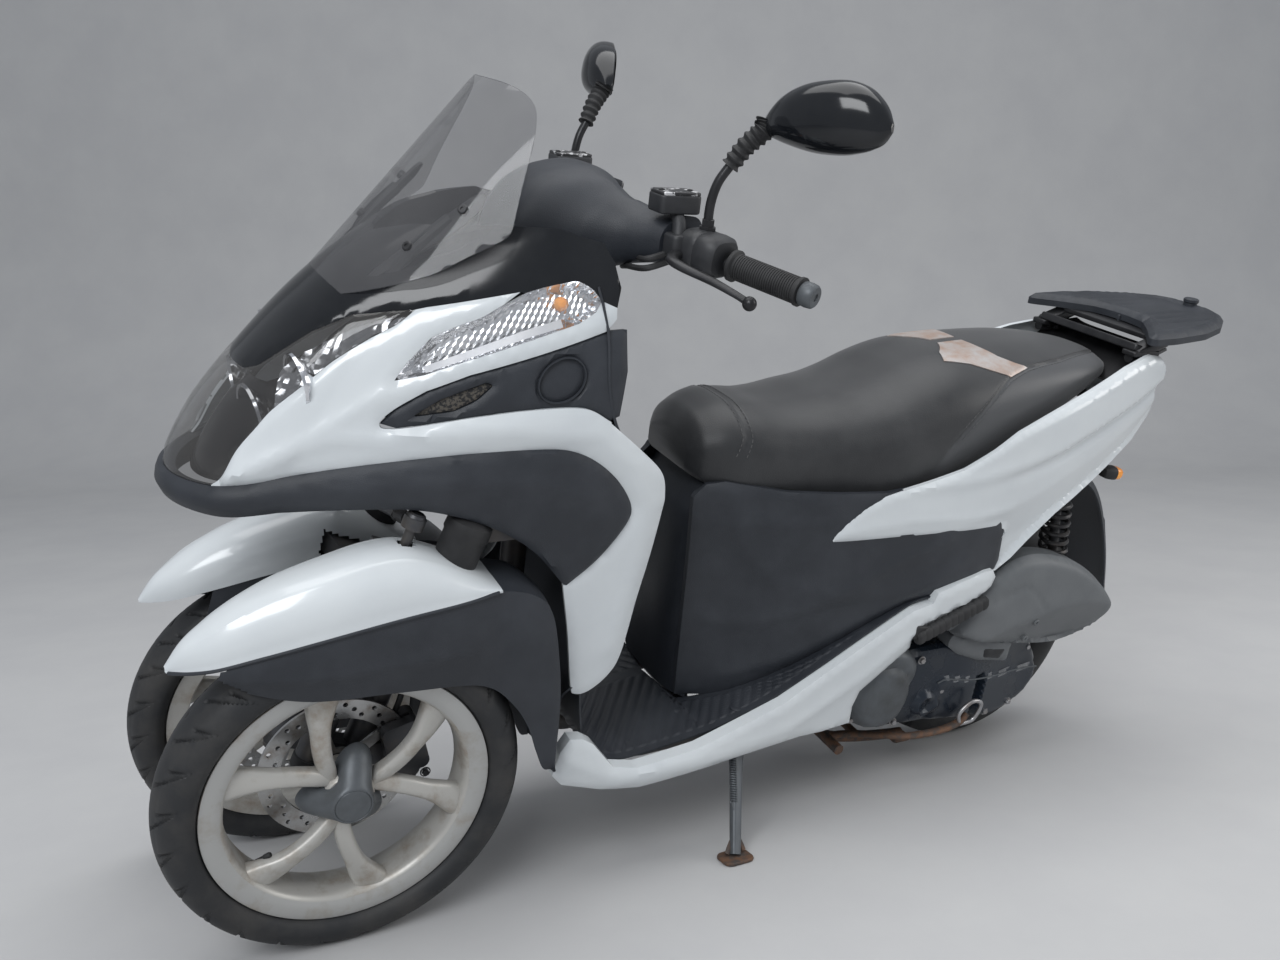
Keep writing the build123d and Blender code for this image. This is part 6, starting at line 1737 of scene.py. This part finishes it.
for name, side, w in FRONT:
    cover = Parts()
    profile = [(21, 0), (27, 0), (29, 5), (27, 10), (29.5, 15), (27, 20), (30, 25), (30, 62), (32, 66), (31, 82),
        (24, 88), (19, 90)]
    cover.turned([(r, s + 592) for r, s in profile], on_axis(0), on_axis(1), 40)
    cover.make("kingpin_cover_" + name, "rubber", "black_plastic", w=w)
    detail, hoses, seals = Parts(), Parts(), Parts()
    for ahead in (30, -30):
        leg = FRONT_AXLE[2] * sin(CASTER) - TRAIL * cos(CASTER) + ahead
        base = on_axis(0, leg, -80 * side)
        seals.turned([(17, 412), (22.5, 412), (23.5, 416), (23.5, 428), (20, 432), (18.5, 438), (17, 440)], base,
            on_axis(1, leg, -80 * side), 32)
        seals.turned([(21.2, 232), (23, 234), (23, 250), (21.2, 252)], base, on_axis(1, leg, -80 * side), 32)
    for dx, dz in ((-66, 22), (-92, 40), (-112, -12), (-84, -34)):
        bolt(detail, (dx - 10, side * -24, 250 + dz - 10), (0, side, 0), 5.5, 5)
    body = ((-118, 272), (-96, 300), (-66, 296), (-58, 262), (-66, 222), (-92, 208), (-116, 226))
    plate = slab(resample(body, 6, 14), (0, -26 if side > 0 else 17, 0), AHEAD, UP, 9, 3)
    detail.table(plate[:, ::-1] if side > 0 else plate, close_m=True, cap=True)
    bolt(detail, (0, -98 * side, 250), (0, -side, 0), 11, 9)
    line = ((-78, -58 * side, 300), (-96, -62 * side, 350), (-110, -96 * side, 420), (-128, -104 * side, 500),
        (-150, -100 * side, 552))
    hoses.tube(line, 4.4, 50, 10)
    detail.make("caliper_" + name, "fork", "fork_paint", body="fork_" + name, w=w)
    hoses.make("brake_hose_" + name, "rubber", "black_plastic", body="fork_" + name, w=w)
    seals.make("fork_seals_" + name, "rubber", "black_plastic", body="fork_" + name, w=w)

TIE_HEIGHT, TIE_AHEAD = 654.0, 75.0
rod, bellows = Parts(), Parts()
mm = [lean(on_axis(TIE_HEIGHT, TIE_AHEAD), w) * 1000 for w in (HALF_TRACK, -HALF_TRACK)]
for k, (a, b) in enumerate((mm, mm[::-1])):
    d = unit(b - a)
    folds = [(8.2, 22)]
    for s in range(26, 66, 5):
        folds += [(9.0, s), (9.8, s + 1), (9.8, s + 2), (8.4, s + 3.4)]
    folds += [(8.2, 68)]
    bellows.turned(folds, a, a + d, 28)
    rod.turned([(8.05, 70), (10.5, 70), (10.5, 84), (8.05, 84)], a, a + d, 6)
    stud = np.array([-sin(CASTER), cos(CASTER) * sin(LEAN), cos(CASTER) * cos(LEAN)])
    rod.turned([(9, 8), (14.5, 8), (14.8, 5), (14.8, -5), (14.5, -8), (9, -8)], a, a + stud, 32)
    rod.turned([(9, 8), (13.5, 8), (12, 12), (9, 14)], a, a + stud, 28)
for parts, name, key, slot_name in ((rod, "tie_rod_joints", "fork", "fork_paint"),
        (bellows, "tie_rod_bellows", "rubber", "black_plastic")):
    parts.v = [v / 1000 for v in parts.v]
    parts.make(name, key, slot_name, body="tie_rod", w=None)
pins = Parts()
for z in (632, 722):
    for px in (-238, -306):
        bolt(pins, (px + (6 if px > -270 else -28), 0, z), (1 if px > -270 else -1, 0, 0), 7, 6)
pins.make("arm_pin_bolts", "steel", "shock_steel")

# %% [markdown]
# ## Floor, light and camera
# A pale floor that curves up into a backdrop and three soft lights show the shape without a second subject.
# The camera was solved from the photo, so a render can be laid over it.

# %% Stage, light and camera
YAW, PITCH, ROLL = 0.479, 0.1495, -0.0175
CAMERA_AT = (1.0635, 1.553, 0.89)


def stage_floor():
    """A floor strip whose far edge bends up: z = r(1 - cos a) beyond the bend."""
    depth = np.concatenate([np.linspace(-4, 4, 9), 4 + 1.5 * np.sin(np.linspace(0.1, np.pi / 2, 12))])
    height = np.concatenate([np.zeros(9), 1.5 * (1 - np.cos(np.linspace(0.1, np.pi / 2, 12)))])
    depth, height = np.append(depth, 5.5), np.append(height, 6.0)
    across = np.linspace(-7, 7, 15)
    back = np.array([-sin(YAW), -cos(YAW)])
    side = np.array([back[1], -back[0]])
    g = np.zeros((len(depth), len(across), 3))
    g[..., :2] = depth[:, None, None] * back + across[None, :, None] * side
    g[..., 2] = height[:, None] - 0.0008
    me = bpy.data.meshes.new("floor")
    me.from_pydata(g.reshape(-1, 3).tolist(), [], quads(*g.shape[:2]))
    me.polygons.foreach_set("use_smooth", [True] * len(me.polygons))
    me.materials.append(finish("pale_floor", (0.5, 0.5, 0.5), (0.47, 0.47, 0.475), 0.7, scale=3, bump=0.05,
        bump_scale=60))
    o = bpy.data.objects.new("floor", me)
    bpy.context.scene.collection.objects.link(o)


def soft_light(name, place, target, size, power, colour=(1, 1, 1)):
    data = bpy.data.lights.new(name, "AREA")
    data.shape, data.size, data.size_y = "RECTANGLE", size[0], size[1]
    data.energy, data.color = power, colour
    o = bpy.data.objects.new(name, data)
    o.location = place
    o.rotation_euler = (Vector(target) - Vector(place)).to_track_quat("-Z", "Y").to_euler()
    bpy.context.scene.collection.objects.link(o)


stage_floor()
soft_light("key", (3.2, 3.0, 3.4), (0, 0, 0.5), (2.6, 2.0), 140, (0.96, 0.98, 1.0))
soft_light("fill", (-3.6, 2.2, 2.0), (0, 0, 0.6), (2.6, 2.0), 52, (1.0, 0.98, 0.95))
soft_light("top", (0.0, 0.2, 4.2), (0, 0, 0), (4.5, 3.0), 100)
world = bpy.data.worlds.new("pale")
bpy.context.scene.world = world
world.use_nodes = True
world.node_tree.nodes["Background"].inputs["Color"].default_value = (0.8, 0.84, 0.9, 1)
world.node_tree.nodes["Background"].inputs["Strength"].default_value = 0.5

camera = bpy.data.objects.new("camera", bpy.data.cameras.new("camera"))
bpy.context.scene.collection.objects.link(camera)
forward = Vector((-sin(YAW) * cos(PITCH), -cos(YAW) * cos(PITCH), -sin(PITCH)))
right = forward.cross(Vector((0, 0, 1))).normalized()
above = right.cross(forward)
tilted = cos(ROLL) * right + sin(ROLL) * above
above = -sin(ROLL) * right + cos(ROLL) * above
camera.matrix_world = Matrix(((tilted.x, above.x, -forward.x, CAMERA_AT[0]),
    (tilted.y, above.y, -forward.y, CAMERA_AT[1]), (tilted.z, above.z, -forward.z, CAMERA_AT[2]), (0, 0, 0, 1)))
camera.data.sensor_width, camera.data.lens = 36.0, 32.45
camera.data.clip_start, camera.data.clip_end = 0.05, 60
bpy.context.scene.camera = camera
bpy.context.scene.view_settings.view_transform = "Standard"

# %% [markdown]
# ## The last step
# The view layer is brought up to date.

# %% The last line
bpy.context.view_layer.update()
